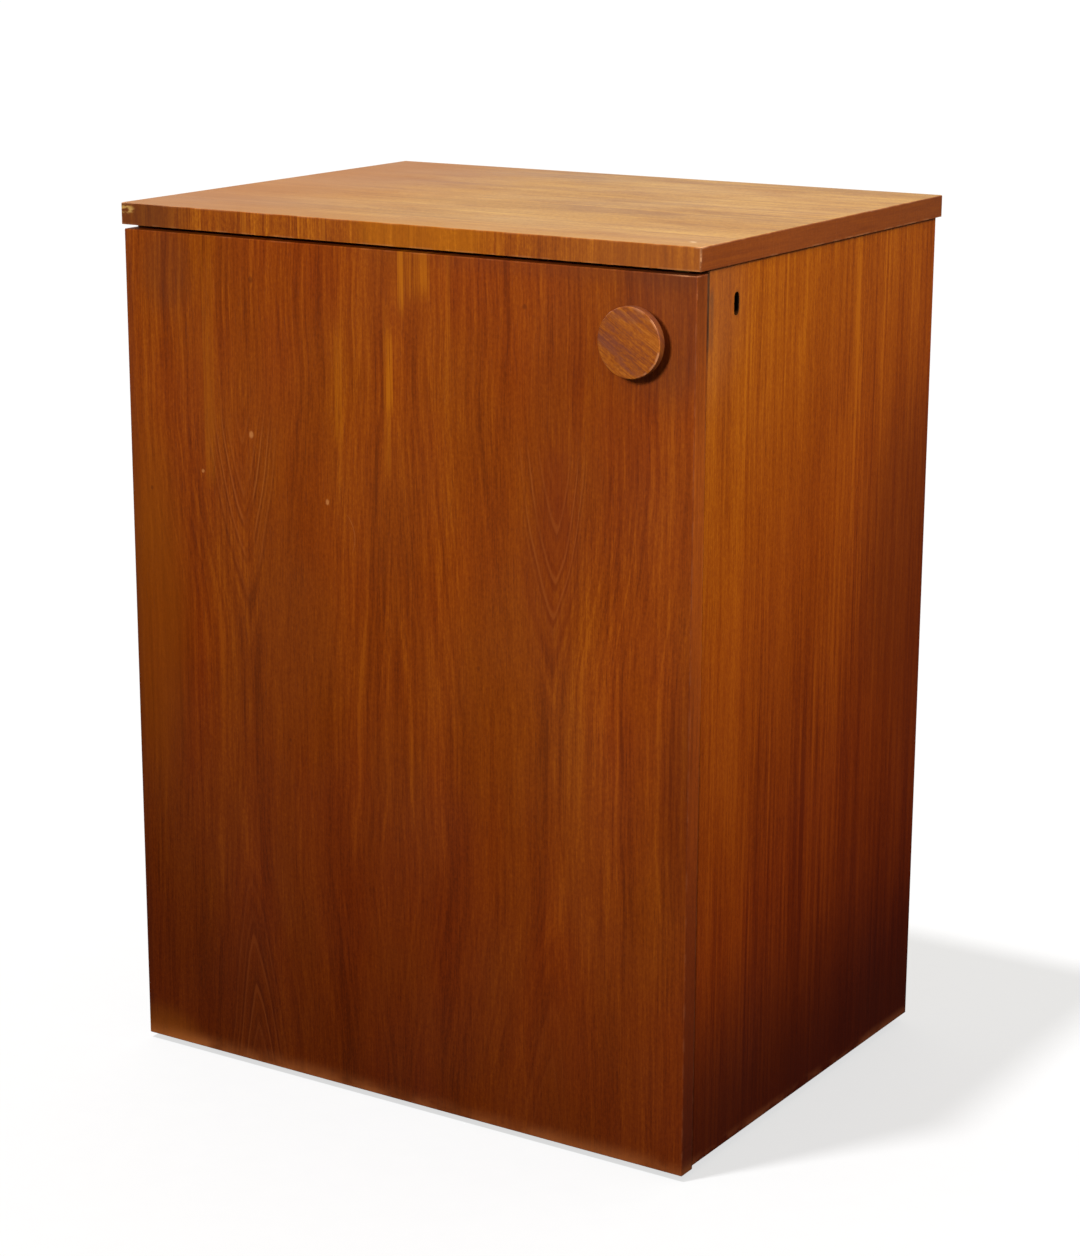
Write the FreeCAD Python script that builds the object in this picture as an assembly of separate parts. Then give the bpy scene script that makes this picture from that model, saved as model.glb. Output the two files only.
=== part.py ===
"""Cellarette: a veneered drinks cabinet with one overlay door, a bottle crate and a rack on the door.

Millimetres. X runs to the right, Y to the back and Z up. The origin is on the floor, under the middle
of the box that holds the whole cabinet, knob and top board included. The door is shut.
"""
import FreeCAD
import Part

import math
import os

Vector = FreeCAD.Vector
RIGHT, BACK, UP = Vector(1, 0, 0), Vector(0, 1, 0), Vector(0, 0, 1)
FORWARD = Vector(0, -1, 0)

# ---------------------------------------------------------------- carcass
CARCASS_WIDTH = 560.0            # over the outer faces of the sides
SIDE_DEPTH = 400.0
SIDE_HEIGHT = 735.5
SIDE_THICKNESS = 17.0
BOTTOM_THICKNESS = 17.0
BOTTOM_HOUSING = 7.0             # how far the bottom board reaches into each side
TOP_THICKNESS = 18.5
TOP_SIDE_OVERHANG = 2.9
TOP_REAR_OVERHANG = 5.5
BACK_THICKNESS = 5.0
BACK_REBATE_WIDTH = 9.0
BACK_REBATE_DEPTH = 6.0
ARRIS = 1.0                      # rounding of the edges that hands touch
JOINERY_CLEARANCE = 0.1

TONGUE_STRIP_THICKNESS = 6.0     # loose tongues that join the top to the sides
TONGUE_STRIP_IN_SIDE = 12.0
TONGUE_STRIP_IN_TOP = 8.0
TONGUE_STRIP_INSET = 30.0        # grooves stop this far from the side's front and rear edges

GLIDE_HEIGHT = 8.0
GLIDE_RADIUS = 11.0
GLIDE_FLAT_RADIUS = 7.0
GLIDE_RIM = 4.0                  # straight part of the glide's edge
GLIDE_INSET = 18.0               # from the bottom board's front and rear edges, and from the sides

# ---------------------------------------------------------------- door and knob
DOOR_THICKNESS = 17.0
DOOR_GAP = 0.6                   # between the shut door and the carcass
DOOR_TOP_GAP = 3.5
DOOR_DROP = 3.0                  # the door hangs this much lower than the sides

KNOB_RADIUS = 27.8
KNOB_HEIGHT = 22.0
KNOB_RIM = 7.4                   # thickness of the disc at its edge
KNOB_NECK_RADIUS = 11.0
KNOB_NECK_HEIGHT = 4.0           # straight part next to the door
KNOB_BEVEL = 1.2                 # at the edge of the face
KNOB_COVE_RADIUS = 16.0          # where the hollow under the disc changes its slope
KNOB_COVE_HEIGHT = 10.5
KNOB_FROM_EDGE = 46.6            # centre from the door's right edge
KNOB_FROM_TOP = 51.4
KNOB_SCREW_RADIUS = 2.0
KNOB_SCREW_HEAD = 4.2
KNOB_SCREW_BITE = 11.0           # length inside the knob
SCREW_CLEARANCE = 0.1

# ---------------------------------------------------------------- butt hinges
HINGE_LENGTH = 64.0
HINGE_FROM_DOOR_END = 76.0       # hinge's end from the door's upper or lower edge
HINGE_STAND_OFF = 0.6            # pin's axis outside the carcass's left face
HINGE_KNUCKLE_RADIUS = 2.2
HINGE_PIN_RADIUS = 1.2
HINGE_RUNNING_CLEARANCE = 0.06
HINGE_LEAF_THICKNESS = 1.2
HINGE_LEAF_GAP = 0.2             # between the leaves of the shut hinge
HINGE_LEAF_MARGIN = 2.5          # wood left between a leaf's edge and the side's inner face
HINGE_KNUCKLES = 5
HINGE_KNUCKLE_GAP = 0.25
HINGE_CHANNEL_CLEARANCE = 0.4    # round the knuckles, in the door and the side

# ---------------------------------------------------------------- lock and link plate
KEYHOLE_BACKSET = 44.5           # slot's middle behind the side's front edge
KEYHOLE_WIDTH = 8.0
KEYHOLE_HEIGHT = 18.4
LOCK_BELOW_TOP = 1.5             # from the top board to the lock plate's upper edge
LOCK_WIDTH = 13.0                # how far the lock stands off the side's inner face
LOCK_PLATE_THICKNESS = 1.5
LOCK_PLATE_MARGIN = 6.0          # plate above and below the case
LOCK_PLATE_TAIL = 4.0            # plate behind the case
LOCK_CASE_BEHIND_KEY = 16.5      # from the keyhole's middle to the case's rear
LOCK_CASE_WALL = 1.2
LOCK_CASE_ROOM = 0.5             # under the withdrawn bolt

TONGUE_LEVELS = (-12.0, 10.0)    # underside of each link-plate tongue, from the keyhole's middle
TONGUE_THICKNESS = 3.0
TONGUE_SIDE_GAP = 1.55           # between a tongue and the case's two walls
TONGUE_TIP = 2.0                 # metal past the eye
TONGUE_EYE_START = 5.6           # the eye that the bolt's horn passes, from the side's front edge
TONGUE_EYE_LENGTH = 4.4
TONGUE_SLOT_CLEARANCE = 0.5
LINK_PLATE_THICKNESS = 1.5
LINK_PLATE_WIDTH = 12.0
LINK_PLATE_SHORTER = 4.0         # than the lock plate, at each end

BOLT_THICKNESS = 4.0
BOLT_TRAVEL = 6.0
BOLT_HORN_LENGTH = 6.5
BOLT_TIP_CLEARANCE = 1.0         # between a withdrawn horn and its tongue
BOLT_HORN_CLEARANCE = 0.4        # between a horn and the four walls of its eye
BOLT_ARM_HEIGHT = 2.8
BOLT_BODY_CLEARANCE = 2.0        # between the tongues' ends and the bolt's body
BOLT_BEFORE_KEY = 3.5            # bolt's rear edge before the keyhole's middle
BOLT_BODY_TOP = 5.0              # from the keyhole's middle
STUD_RADIUS = 2.0
STUD_BEFORE_KEY = 21.5
STUD_LEVEL = -8.0                # from the keyhole's middle
STUD_CLEARANCE = 0.1
TALON_WIDTH = 8.0                # notch that the key turns in
TALON_DEPTH = 6.0
TALON_LEVEL = -3.0

# ---------------------------------------------------------------- magnetic catch
CATCH_FROM_LOCK_SIDE = 95.0      # catch's middle from the right side's inner face
CATCH_WIDTH = 46.0
CATCH_DEPTH = 15.0
CATCH_HEIGHT = 18.0
CATCH_SETBACK = 1.2              # body's front behind the side's front edge
MAGNET_WIDTH = 26.0
MAGNET_HEIGHT = 10.0
MAGNET_DEPTH = 11.0
MAGNET_FROM_TOP = 6.0
MAGNET_CLEARANCE = 0.1
CATCH_PLATE_WIDTH = 32.0
CATCH_PLATE_HEIGHT = 11.5
CATCH_PLATE_THICKNESS = 1.0
CATCH_PLATE_BELOW_DOOR_TOP = 1.5
CATCH_AIR_GAP = 0.1

# ---------------------------------------------------------------- shelf
SHELF_THICKNESS = 16.0
SHELF_LEVEL = 392.0              # shelf's underside above the floor
SHELF_SIDE_CLEARANCE = 1.0
SHELF_BACK_CLEARANCE = 1.0
BEARER_WIDTH = 14.0
BEARER_HEIGHT = 20.0
BEARER_SETBACK = 12.0            # behind the shelf's front edge

# ---------------------------------------------------------------- bottle crate
CRATE_HEIGHT = 120.0
CRATE_BOARD = 8.0
CRATE_SLAT = 6.0
CRATE_HOUSING = 3.0              # depth of the grooves that hold the slats' ends
CRATE_CLEARANCE = 1.0            # to the sides and the back
CRATE_CELLS_ACROSS = 5
CRATE_CELLS_DEEP = 3

# ---------------------------------------------------------------- rack on the door
RACK_DEPTH = 104.0
RACK_SWING_GAP = 5.0             # between the rack's inner corner and the right side as the door opens
RACK_BOARD = 10.0
RACK_SHELF_THICKNESS = 12.0
RACK_HOUSING = 4.0
RACK_ABOVE_BOTTOM = 7.0          # over the bottom board
RACK_BELOW_LOCK = 42.0
RACK_UPPER_SHELF = 348.0         # upper shelf above the lower one
RACK_STRIP_THICKNESS = 8.0
RACK_STRIP_HEIGHT = 36.0
RACK_RAIL_HEIGHT = 32.0
RACK_LOWER_RAIL_LEVEL = 66.0     # rail's underside over its shelf
RACK_UPPER_RAIL_LEVEL = 46.0
RACK_CHEEK_ROUNDING = 32.0
RACK_TO_SHELF = 14.0             # between the rack and the shelf or crate behind it

# ---------------------------------------------------------------- levels and planes that follow
HALF_WIDTH = CARCASS_WIDTH / 2
INNER_HALF = HALF_WIDTH - SIDE_THICKNESS
SIDE_BOTTOM = GLIDE_HEIGHT
SIDE_TOP = SIDE_BOTTOM + SIDE_HEIGHT
FLOOR_LEVEL = SIDE_BOTTOM + BOTTOM_THICKNESS
DOOR_BOTTOM = SIDE_BOTTOM - DOOR_DROP
DOOR_TOP = SIDE_TOP - DOOR_TOP_GAP

REACH_FORWARD = DOOR_GAP + DOOR_THICKNESS + KNOB_HEIGHT
REACH_BACK = SIDE_DEPTH + TOP_REAR_OVERHANG
SIDE_FRONT = (REACH_FORWARD - REACH_BACK) / 2
SIDE_REAR = SIDE_FRONT + SIDE_DEPTH
DOOR_BACK = SIDE_FRONT - DOOR_GAP
DOOR_FRONT = DOOR_BACK - DOOR_THICKNESS
BACK_FRONT = SIDE_REAR - BACK_REBATE_DEPTH
SHELF_FRONT = DOOR_BACK + RACK_DEPTH + RACK_TO_SHELF

HINGE_X = -HALF_WIDTH - HINGE_STAND_OFF
HINGE_Y = (SIDE_FRONT + DOOR_BACK) / 2
HINGE_LEAF_END = -INNER_HALF - HINGE_LEAF_MARGIN
HINGE_PITCH = HINGE_LENGTH / HINGE_KNUCKLES
HINGE_LEVELS = {"lower": DOOR_BOTTOM + HINGE_FROM_DOOR_END,
                "upper": DOOR_TOP - HINGE_FROM_DOOR_END - HINGE_LENGTH}

LOCK_CASE_LENGTH = KEYHOLE_BACKSET + LOCK_CASE_BEHIND_KEY
LOCK_CASE_HEIGHT = 2 * (LOCK_CASE_WALL + LOCK_CASE_ROOM + BOLT_ARM_HEIGHT + BOLT_HORN_LENGTH
                        + BOLT_TIP_CLEARANCE - TONGUE_LEVELS[0])
LOCK_PLATE_LENGTH = LOCK_CASE_LENGTH + LOCK_PLATE_TAIL
LOCK_PLATE_HEIGHT = LOCK_CASE_HEIGHT + 2 * LOCK_PLATE_MARGIN
LINK_PLATE_HEIGHT = LOCK_PLATE_HEIGHT - 2 * LINK_PLATE_SHORTER
LOCK_Z = SIDE_TOP - LOCK_BELOW_TOP - LOCK_PLATE_HEIGHT / 2
KEY_Y = SIDE_FRONT + KEYHOLE_BACKSET
LOCK_INNER_X = INNER_HALF - LOCK_WIDTH
PLATE_X = INNER_HALF - LOCK_PLATE_THICKNESS
COVER_X = LOCK_INNER_X + LOCK_CASE_WALL
BOLT_X = (COVER_X + PLATE_X) / 2
EYE_Y = (SIDE_FRONT + TONGUE_EYE_START, SIDE_FRONT + TONGUE_EYE_START + TONGUE_EYE_LENGTH)
TONGUE_END = EYE_Y[1] + TONGUE_TIP

CATCH_X = INNER_HALF - CATCH_FROM_LOCK_SIDE
CATCH_PLATE_FACE = DOOR_BACK + CATCH_PLATE_THICKNESS

RACK_INNER_Y = DOOR_BACK + RACK_DEPTH
RACK_REACH = INNER_HALF - HINGE_X - RACK_SWING_GAP     # hinge to the rack's inner right corner
RACK_HALF = HINGE_X + math.sqrt(RACK_REACH ** 2 - (RACK_INNER_Y - HINGE_Y) ** 2)
RACK_LOW = FLOOR_LEVEL + RACK_ABOVE_BOTTOM
RACK_HIGH = LOCK_Z - LOCK_PLATE_HEIGHT / 2 - RACK_BELOW_LOCK
RACK_SHELF_LEVELS = {"lower": RACK_LOW, "upper": RACK_LOW + RACK_UPPER_SHELF}
RACK_RAIL_OVER_SHELF = {"lower": RACK_LOWER_RAIL_LEVEL, "upper": RACK_UPPER_RAIL_LEVEL}


# ---------------------------------------------------------------- helpers
def block(x_range, y_range, z_range):
    """Box between the ends of three ranges, given in either order."""
    low = [min(r) for r in (x_range, y_range, z_range)]
    high = [max(r) for r in (x_range, y_range, z_range)]
    size = [b - a for a, b in zip(low, high)]
    return Part.makeBox(*size, Vector(*low))


def rod(radius, length, start, direction):
    return Part.makeCylinder(radius, length, start, direction)


def about(middle, width, clearance=0.0):
    """The range of a width about its middle, widened by a clearance at both ends."""
    half = width / 2 + clearance
    return middle - half, middle + half


def soften(shape, radius, chosen):
    """Rounds the edges whose bounding boxes pass the test."""
    return shape.makeFillet(radius, [edge for edge in shape.Edges if chosen(edge.BoundBox)])


def revolved(profile, start, axis, across):
    """Turns a closed outline of (distance from the axis, distance along it) points into a solid."""
    points = [start + across * radius + axis * along for radius, along in profile]
    face = Part.Face(Part.makePolygon(points + points[:1]))
    return face.revolve(start, axis, 360)


def upright_slot(y, z, x_range, width, height):
    """A round-ended slot through the X range, centred on a point of the YZ plane."""
    radius = width / 2
    straight = (height - width) / 2
    low, high = min(x_range), max(x_range)
    ends = [rod(radius, high - low, Vector(low, y, z + dz), RIGHT) for dz in (-straight, straight)]
    middle = block((low, high), about(y, width), about(z, 2 * straight))
    return middle.multiFuse(ends).removeSplitter()


# ---------------------------------------------------------------- carcass
def bottom_panel():
    """The bottom board, let into a rebate along each side's lower inner edge."""
    half = INNER_HALF + BOTTOM_HOUSING
    return block((-half, half), (SIDE_FRONT, BACK_FRONT), (SIDE_BOTTOM, FLOOR_LEVEL))


def top_tongue(sign, clearance=0.0):
    """The loose tongue between a side and the top, or its grooves when a clearance is given."""
    x = sign * (HALF_WIDTH - SIDE_THICKNESS / 2)
    return block(about(x, TONGUE_STRIP_THICKNESS, clearance),
                 (SIDE_FRONT + TONGUE_STRIP_INSET - clearance, SIDE_REAR - TONGUE_STRIP_INSET + clearance),
                 (SIDE_TOP - TONGUE_STRIP_IN_SIDE - clearance, SIDE_TOP + TONGUE_STRIP_IN_TOP + clearance))


def side_panel(sign):
    """One side: sign is -1 on the left, where the hinges are, and 1 on the right, where the lock is."""
    outer, inner = sign * HALF_WIDTH, sign * INNER_HALF
    board = block((inner, outer), (SIDE_FRONT, SIDE_REAR), (SIDE_BOTTOM, SIDE_TOP))

    def shown(box):
        on_outer = abs(box.XMin - outer) < ARRIS and box.XLength < ARRIS
        return on_outer and box.ZMin < SIDE_TOP - ARRIS

    board = soften(board, ARRIS, shown)
    housing = sign * (INNER_HALF + BOTTOM_HOUSING)
    back_edge = sign * (INNER_HALF + BACK_REBATE_WIDTH)
    cuts = [
        block((inner, housing), (SIDE_FRONT, BACK_FRONT), (SIDE_BOTTOM, FLOOR_LEVEL)),
        block((inner, back_edge), (BACK_FRONT, SIDE_REAR), (SIDE_BOTTOM, SIDE_TOP)),
        top_tongue(sign, JOINERY_CLEARANCE),
    ]
    if sign < 0:
        cuts += hinge_recesses(1)
    else:
        cuts.append(upright_slot(KEY_Y, LOCK_Z, (inner, outer), KEYHOLE_WIDTH, KEYHOLE_HEIGHT))
    return board.cut(cuts)


def top_panel():
    half = HALF_WIDTH + TOP_SIDE_OVERHANG
    board = block((-half, half), (DOOR_FRONT, SIDE_REAR + TOP_REAR_OVERHANG),
                  (SIDE_TOP, SIDE_TOP + TOP_THICKNESS))
    board = soften(board, ARRIS, lambda box: box.ZMax > SIDE_TOP + ARRIS)
    return board.cut([top_tongue(sign, JOINERY_CLEARANCE) for sign in (-1, 1)])


def back_panel():
    half = INNER_HALF + BACK_REBATE_WIDTH - JOINERY_CLEARANCE
    return block((-half, half), (BACK_FRONT, BACK_FRONT + BACK_THICKNESS),
                 (SIDE_BOTTOM, SIDE_TOP - JOINERY_CLEARANCE))


def glides():
    """Four round glides under the bottom board's corners, each with a sloping edge at the floor."""
    profile = [(0, 0), (GLIDE_FLAT_RADIUS, 0), (GLIDE_RADIUS, GLIDE_HEIGHT - GLIDE_RIM),
               (GLIDE_RADIUS, GLIDE_HEIGHT), (0, GLIDE_HEIGHT)]
    x = INNER_HALF - GLIDE_INSET
    return [revolved(profile, Vector(sign * x, y, 0), UP, RIGHT)
            for y in (SIDE_FRONT + GLIDE_INSET, BACK_FRONT - GLIDE_INSET) for sign in (-1, 1)]


def shelf():
    half = INNER_HALF - SHELF_SIDE_CLEARANCE
    board = block((-half, half), (SHELF_FRONT, BACK_FRONT - SHELF_BACK_CLEARANCE),
                  (SHELF_LEVEL, SHELF_LEVEL + SHELF_THICKNESS))
    return soften(board, ARRIS, lambda box: box.YMax < SHELF_FRONT + ARRIS and box.XLength > ARRIS)


def shelf_bearer(sign):
    """A strip along one side that the shelf lies on."""
    x_range = (sign * INNER_HALF, sign * (INNER_HALF - BEARER_WIDTH))
    strip = block(x_range, (SHELF_FRONT + BEARER_SETBACK, BACK_FRONT),
                  (SHELF_LEVEL - BEARER_HEIGHT, SHELF_LEVEL))
    inner = x_range[1]
    return soften(strip, ARRIS, lambda box: box.ZMax < SHELF_LEVEL - ARRIS
                  and box.YLength > ARRIS and abs(box.XMin - inner) < ARRIS)


# ---------------------------------------------------------------- door and knob
def door_panel():
    board = block((-HALF_WIDTH, HALF_WIDTH), (DOOR_FRONT, DOOR_BACK), (DOOR_BOTTOM, DOOR_TOP))
    board = soften(board, ARRIS, lambda box: box.YMin < DOOR_BACK - ARRIS)
    link_recess = block(about(BOLT_X, LINK_PLATE_WIDTH), (DOOR_BACK - LINK_PLATE_THICKNESS, DOOR_BACK),
                        about(LOCK_Z, LINK_PLATE_HEIGHT))
    return board.cut(hinge_recesses(-1) + [link_recess, knob_screw(SCREW_CLEARANCE)])


KNOB_CENTRE = Vector(HALF_WIDTH - KNOB_FROM_EDGE, DOOR_FRONT, DOOR_TOP - KNOB_FROM_TOP)


def knob():
    """A turned disc on a neck, hollowed underneath so that fingers can hook behind it."""
    underside = KNOB_HEIGHT - KNOB_RIM
    profile = [
        (0, 0), (KNOB_NECK_RADIUS, 0), (KNOB_NECK_RADIUS, KNOB_NECK_HEIGHT),
        (KNOB_COVE_RADIUS, KNOB_COVE_HEIGHT), (KNOB_RADIUS, underside),
        (KNOB_RADIUS, KNOB_HEIGHT - KNOB_BEVEL), (KNOB_RADIUS - KNOB_BEVEL, KNOB_HEIGHT), (0, KNOB_HEIGHT),
    ]
    return revolved(profile, KNOB_CENTRE, FORWARD, RIGHT).cut(knob_screw(SCREW_CLEARANCE))


def knob_screw(clearance=0.0):
    """The countersunk screw through the door into the knob, or its hole when a clearance is given."""
    head_length = KNOB_SCREW_HEAD - KNOB_SCREW_RADIUS
    length = DOOR_THICKNESS + KNOB_SCREW_BITE + clearance
    start = Vector(KNOB_CENTRE.x, DOOR_BACK, KNOB_CENTRE.z)
    profile = [(0, 0), (KNOB_SCREW_HEAD + clearance, 0),
               (KNOB_SCREW_RADIUS + clearance, head_length), (KNOB_SCREW_RADIUS + clearance, length),
               (0, length)]
    return revolved(profile, start, FORWARD, RIGHT)


# ---------------------------------------------------------------- butt hinges
def hinge_recesses(side):
    """What the leaves and knuckles take out of the left side, where side is 1, or the door, -1."""
    floor_y = HINGE_Y + side * (HINGE_LEAF_GAP / 2 + HINGE_LEAF_THICKNESS)
    end_x = HINGE_LEAF_END + JOINERY_CLEARANCE
    cuts = []
    for low in HINGE_LEVELS.values():
        z_range = (low - JOINERY_CLEARANCE, low + HINGE_LENGTH + JOINERY_CLEARANCE)
        cuts.append(block((HINGE_X, end_x), (HINGE_Y, floor_y), z_range))
        cuts.append(rod(HINGE_KNUCKLE_RADIUS + HINGE_CHANNEL_CLEARANCE, z_range[1] - z_range[0],
                        Vector(HINGE_X, HINGE_Y, z_range[0]), UP))
    return cuts


def hinge_leaf(name, side):
    """One leaf with its knuckles: side is 1 for the carcass's three, -1 for the door's two."""
    low = HINGE_LEVELS[name]
    near = HINGE_Y + side * HINGE_LEAF_GAP / 2
    far = near + side * HINGE_LEAF_THICKNESS
    plate_start = HINGE_X + HINGE_KNUCKLE_RADIUS + HINGE_CHANNEL_CLEARANCE
    leaf = block((plate_start, HINGE_LEAF_END), (near, far), (low, low + HINGE_LENGTH))
    knuckles = []
    for index in range(0 if side > 0 else 1, HINGE_KNUCKLES, 2):
        start = low + index * HINGE_PITCH + HINGE_KNUCKLE_GAP / 2
        length = HINGE_PITCH - HINGE_KNUCKLE_GAP
        knuckles.append(rod(HINGE_KNUCKLE_RADIUS, length, Vector(HINGE_X, HINGE_Y, start), UP))
        knuckles.append(block((HINGE_X, plate_start), (near, far), (start, start + length)))
    bore = hinge_pin(name, HINGE_RUNNING_CLEARANCE)
    return leaf.multiFuse(knuckles).removeSplitter().cut(bore)


def hinge_pin(name, clearance=0.0):
    """The pin, or the knuckles' bore when a clearance is given."""
    return rod(HINGE_PIN_RADIUS + clearance, HINGE_LENGTH, Vector(HINGE_X, HINGE_Y, HINGE_LEVELS[name]), UP)


# ---------------------------------------------------------------- lock and link plate
def tongue(level, clearance=0.0):
    """A tongue of the link plate, or its slot in the lock's front when a clearance is given."""
    z = LOCK_Z + level
    width = PLATE_X - COVER_X - 2 * TONGUE_SIDE_GAP
    return block(about(BOLT_X, width, clearance), (DOOR_BACK, TONGUE_END),
                 (z - clearance, z + TONGUE_THICKNESS + clearance))


def lock_plate():
    """The plate on the side's inner face and the lock's front, bent from one sheet."""
    levels = about(LOCK_Z, LOCK_PLATE_HEIGHT)
    plate = block((PLATE_X, INNER_HALF), (SIDE_FRONT, SIDE_FRONT + LOCK_PLATE_LENGTH), levels)
    front = block((LOCK_INNER_X, INNER_HALF), (SIDE_FRONT, SIDE_FRONT + LOCK_PLATE_THICKNESS), levels)
    keyhole = upright_slot(KEY_Y, LOCK_Z, (PLATE_X, INNER_HALF), KEYHOLE_WIDTH, KEYHOLE_HEIGHT)
    slots = [tongue(level, TONGUE_SLOT_CLEARANCE) for level in TONGUE_LEVELS]
    return plate.fuse(front).removeSplitter().cut([keyhole] + slots)


def lock_case():
    """The pressed cover: open to the plate and to the lock's front."""
    front = SIDE_FRONT + LOCK_PLATE_THICKNESS
    rear = SIDE_FRONT + LOCK_CASE_LENGTH
    shell = block((LOCK_INNER_X, PLATE_X), (front, rear), about(LOCK_Z, LOCK_CASE_HEIGHT))
    hollow = block((COVER_X, PLATE_X), (front, rear - LOCK_CASE_WALL),
                   about(LOCK_Z, LOCK_CASE_HEIGHT, -LOCK_CASE_WALL))
    return shell.cut(hollow)


def lock_guide_stud():
    place = Vector(COVER_X, KEY_Y - STUD_BEFORE_KEY, LOCK_Z + STUD_LEVEL)
    return rod(STUD_RADIUS, PLATE_X - COVER_X, place, RIGHT)


def lock_bolt():
    """The bolt: a plate with one upright horn under each tongue. It slides up to lock the door."""
    x_range = about(BOLT_X, BOLT_THICKNESS)
    horn = (EYE_Y[0] + BOLT_HORN_CLEARANCE, EYE_Y[1] - BOLT_HORN_CLEARANCE)
    body_front = TONGUE_END + BOLT_BODY_CLEARANCE
    body_rear = KEY_Y - BOLT_BEFORE_KEY
    horns = []
    for level in TONGUE_LEVELS:
        tip = LOCK_Z + level - BOLT_TIP_CLEARANCE
        arm_top = tip - BOLT_HORN_LENGTH
        lowest = arm_top - BOLT_ARM_HEIGHT
        horns.append(block(x_range, horn, (lowest, tip)))
        horns.append(block(x_range, (horn[0], body_front), (lowest, arm_top)))
    bolt_low = min(piece.BoundBox.ZMin for piece in horns)
    body = block(x_range, (body_front, body_rear), (bolt_low, LOCK_Z + BOLT_BODY_TOP))

    stud_width = 2 * (STUD_RADIUS + STUD_CLEARANCE)
    guide = upright_slot(KEY_Y - STUD_BEFORE_KEY, LOCK_Z + STUD_LEVEL - BOLT_TRAVEL / 2, x_range,
                         stud_width, stud_width + BOLT_TRAVEL)
    talon_middle = body_rear - TALON_DEPTH + TALON_WIDTH / 2
    talon = block(x_range, (talon_middle, body_rear), about(LOCK_Z + TALON_LEVEL, TALON_WIDTH))
    round_end = rod(TALON_WIDTH / 2, BOLT_THICKNESS,
                    Vector(x_range[0], talon_middle, LOCK_Z + TALON_LEVEL), RIGHT)
    return body.multiFuse(horns).removeSplitter().cut([guide, talon, round_end])


def link_plate():
    """The plate let into the door's back, with two tongues that enter the lock's front."""
    levels = about(LOCK_Z, LINK_PLATE_HEIGHT)
    plate = block(about(BOLT_X, LINK_PLATE_WIDTH), (DOOR_BACK - LINK_PLATE_THICKNESS, DOOR_BACK), levels)
    eye = block(about(BOLT_X, BOLT_THICKNESS, BOLT_HORN_CLEARANCE), EYE_Y, levels)
    return plate.multiFuse([tongue(level) for level in TONGUE_LEVELS]).removeSplitter().cut(eye)


# ---------------------------------------------------------------- magnetic catch
def catch_magnet(clearance=0.0):
    """The magnet, or its pocket in the body when a clearance is given."""
    front = CATCH_PLATE_FACE + CATCH_AIR_GAP
    top = SIDE_TOP - MAGNET_FROM_TOP
    return block(about(CATCH_X, MAGNET_WIDTH, clearance), (front, front + MAGNET_DEPTH + clearance),
                 (top - MAGNET_HEIGHT - clearance, top + clearance))


def catch_body():
    front = SIDE_FRONT + CATCH_SETBACK
    body = block(about(CATCH_X, CATCH_WIDTH), (front, front + CATCH_DEPTH),
                 (SIDE_TOP - CATCH_HEIGHT, SIDE_TOP))
    return body.cut(catch_magnet(MAGNET_CLEARANCE))


def catch_plate():
    top = DOOR_TOP - CATCH_PLATE_BELOW_DOOR_TOP
    return block(about(CATCH_X, CATCH_PLATE_WIDTH), (DOOR_BACK, CATCH_PLATE_FACE),
                 (top - CATCH_PLATE_HEIGHT, top))


# ---------------------------------------------------------------- bottle crate
CRATE_HALF = INNER_HALF - CRATE_CLEARANCE
CRATE_BACK = BACK_FRONT - CRATE_CLEARANCE
CRATE_INNER_HALF = CRATE_HALF - CRATE_BOARD
CRATE_INNER_Y = (SHELF_FRONT + CRATE_BOARD, CRATE_BACK - CRATE_BOARD)
CRATE_Z = (FLOOR_LEVEL, FLOOR_LEVEL + CRATE_HEIGHT)
CRATE_HALVING = FLOOR_LEVEL + CRATE_HEIGHT / 2


def slat_middles(low, high, cells):
    """Middles of the slats that divide a stretch into equal cells."""
    cell = (high - low - (cells - 1) * CRATE_SLAT) / cells
    return [low + (i + 1) * cell + (i + 0.5) * CRATE_SLAT for i in range(cells - 1)]


CROSS_SLAT_X = slat_middles(-CRATE_INNER_HALF, CRATE_INNER_HALF, CRATE_CELLS_ACROSS)
LONG_SLAT_Y = slat_middles(*CRATE_INNER_Y, CRATE_CELLS_DEEP)


def crate_end(sign):
    """A crate end, with housings for the front, the back and the long slats."""
    outer = sign * CRATE_HALF
    inner = sign * CRATE_INNER_HALF
    board = block((inner, outer), (SHELF_FRONT, CRATE_BACK), CRATE_Z)
    deep = sign * (CRATE_INNER_HALF + CRATE_HOUSING)
    ranges = [(SHELF_FRONT, CRATE_INNER_Y[0] + JOINERY_CLEARANCE),
              (CRATE_INNER_Y[1] - JOINERY_CLEARANCE, CRATE_BACK)]
    ranges += [about(y, CRATE_SLAT, JOINERY_CLEARANCE) for y in LONG_SLAT_Y]
    return board.cut([block((inner, deep), y_range, CRATE_Z) for y_range in ranges])


def crate_long_board(y_range, housed_face, sign):
    """The crate's front or back, with housings for the cross slats in its inner face."""
    half = CRATE_INNER_HALF + CRATE_HOUSING - JOINERY_CLEARANCE
    board = block((-half, half), y_range, CRATE_Z)
    deep = housed_face + sign * CRATE_HOUSING
    return board.cut([block(about(x, CRATE_SLAT, JOINERY_CLEARANCE), (housed_face, deep), CRATE_Z)
                      for x in CROSS_SLAT_X])


def crate_long_slat(y):
    """A slat from end to end, notched down to its middle where the cross slats pass."""
    half = CRATE_INNER_HALF + CRATE_HOUSING - JOINERY_CLEARANCE
    y_range = about(y, CRATE_SLAT)
    slat = block((-half, half), y_range, CRATE_Z)
    notch_z = (CRATE_HALVING - JOINERY_CLEARANCE, CRATE_Z[1])
    return slat.cut([block(about(x, CRATE_SLAT, JOINERY_CLEARANCE), y_range, notch_z)
                     for x in CROSS_SLAT_X])


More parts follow.
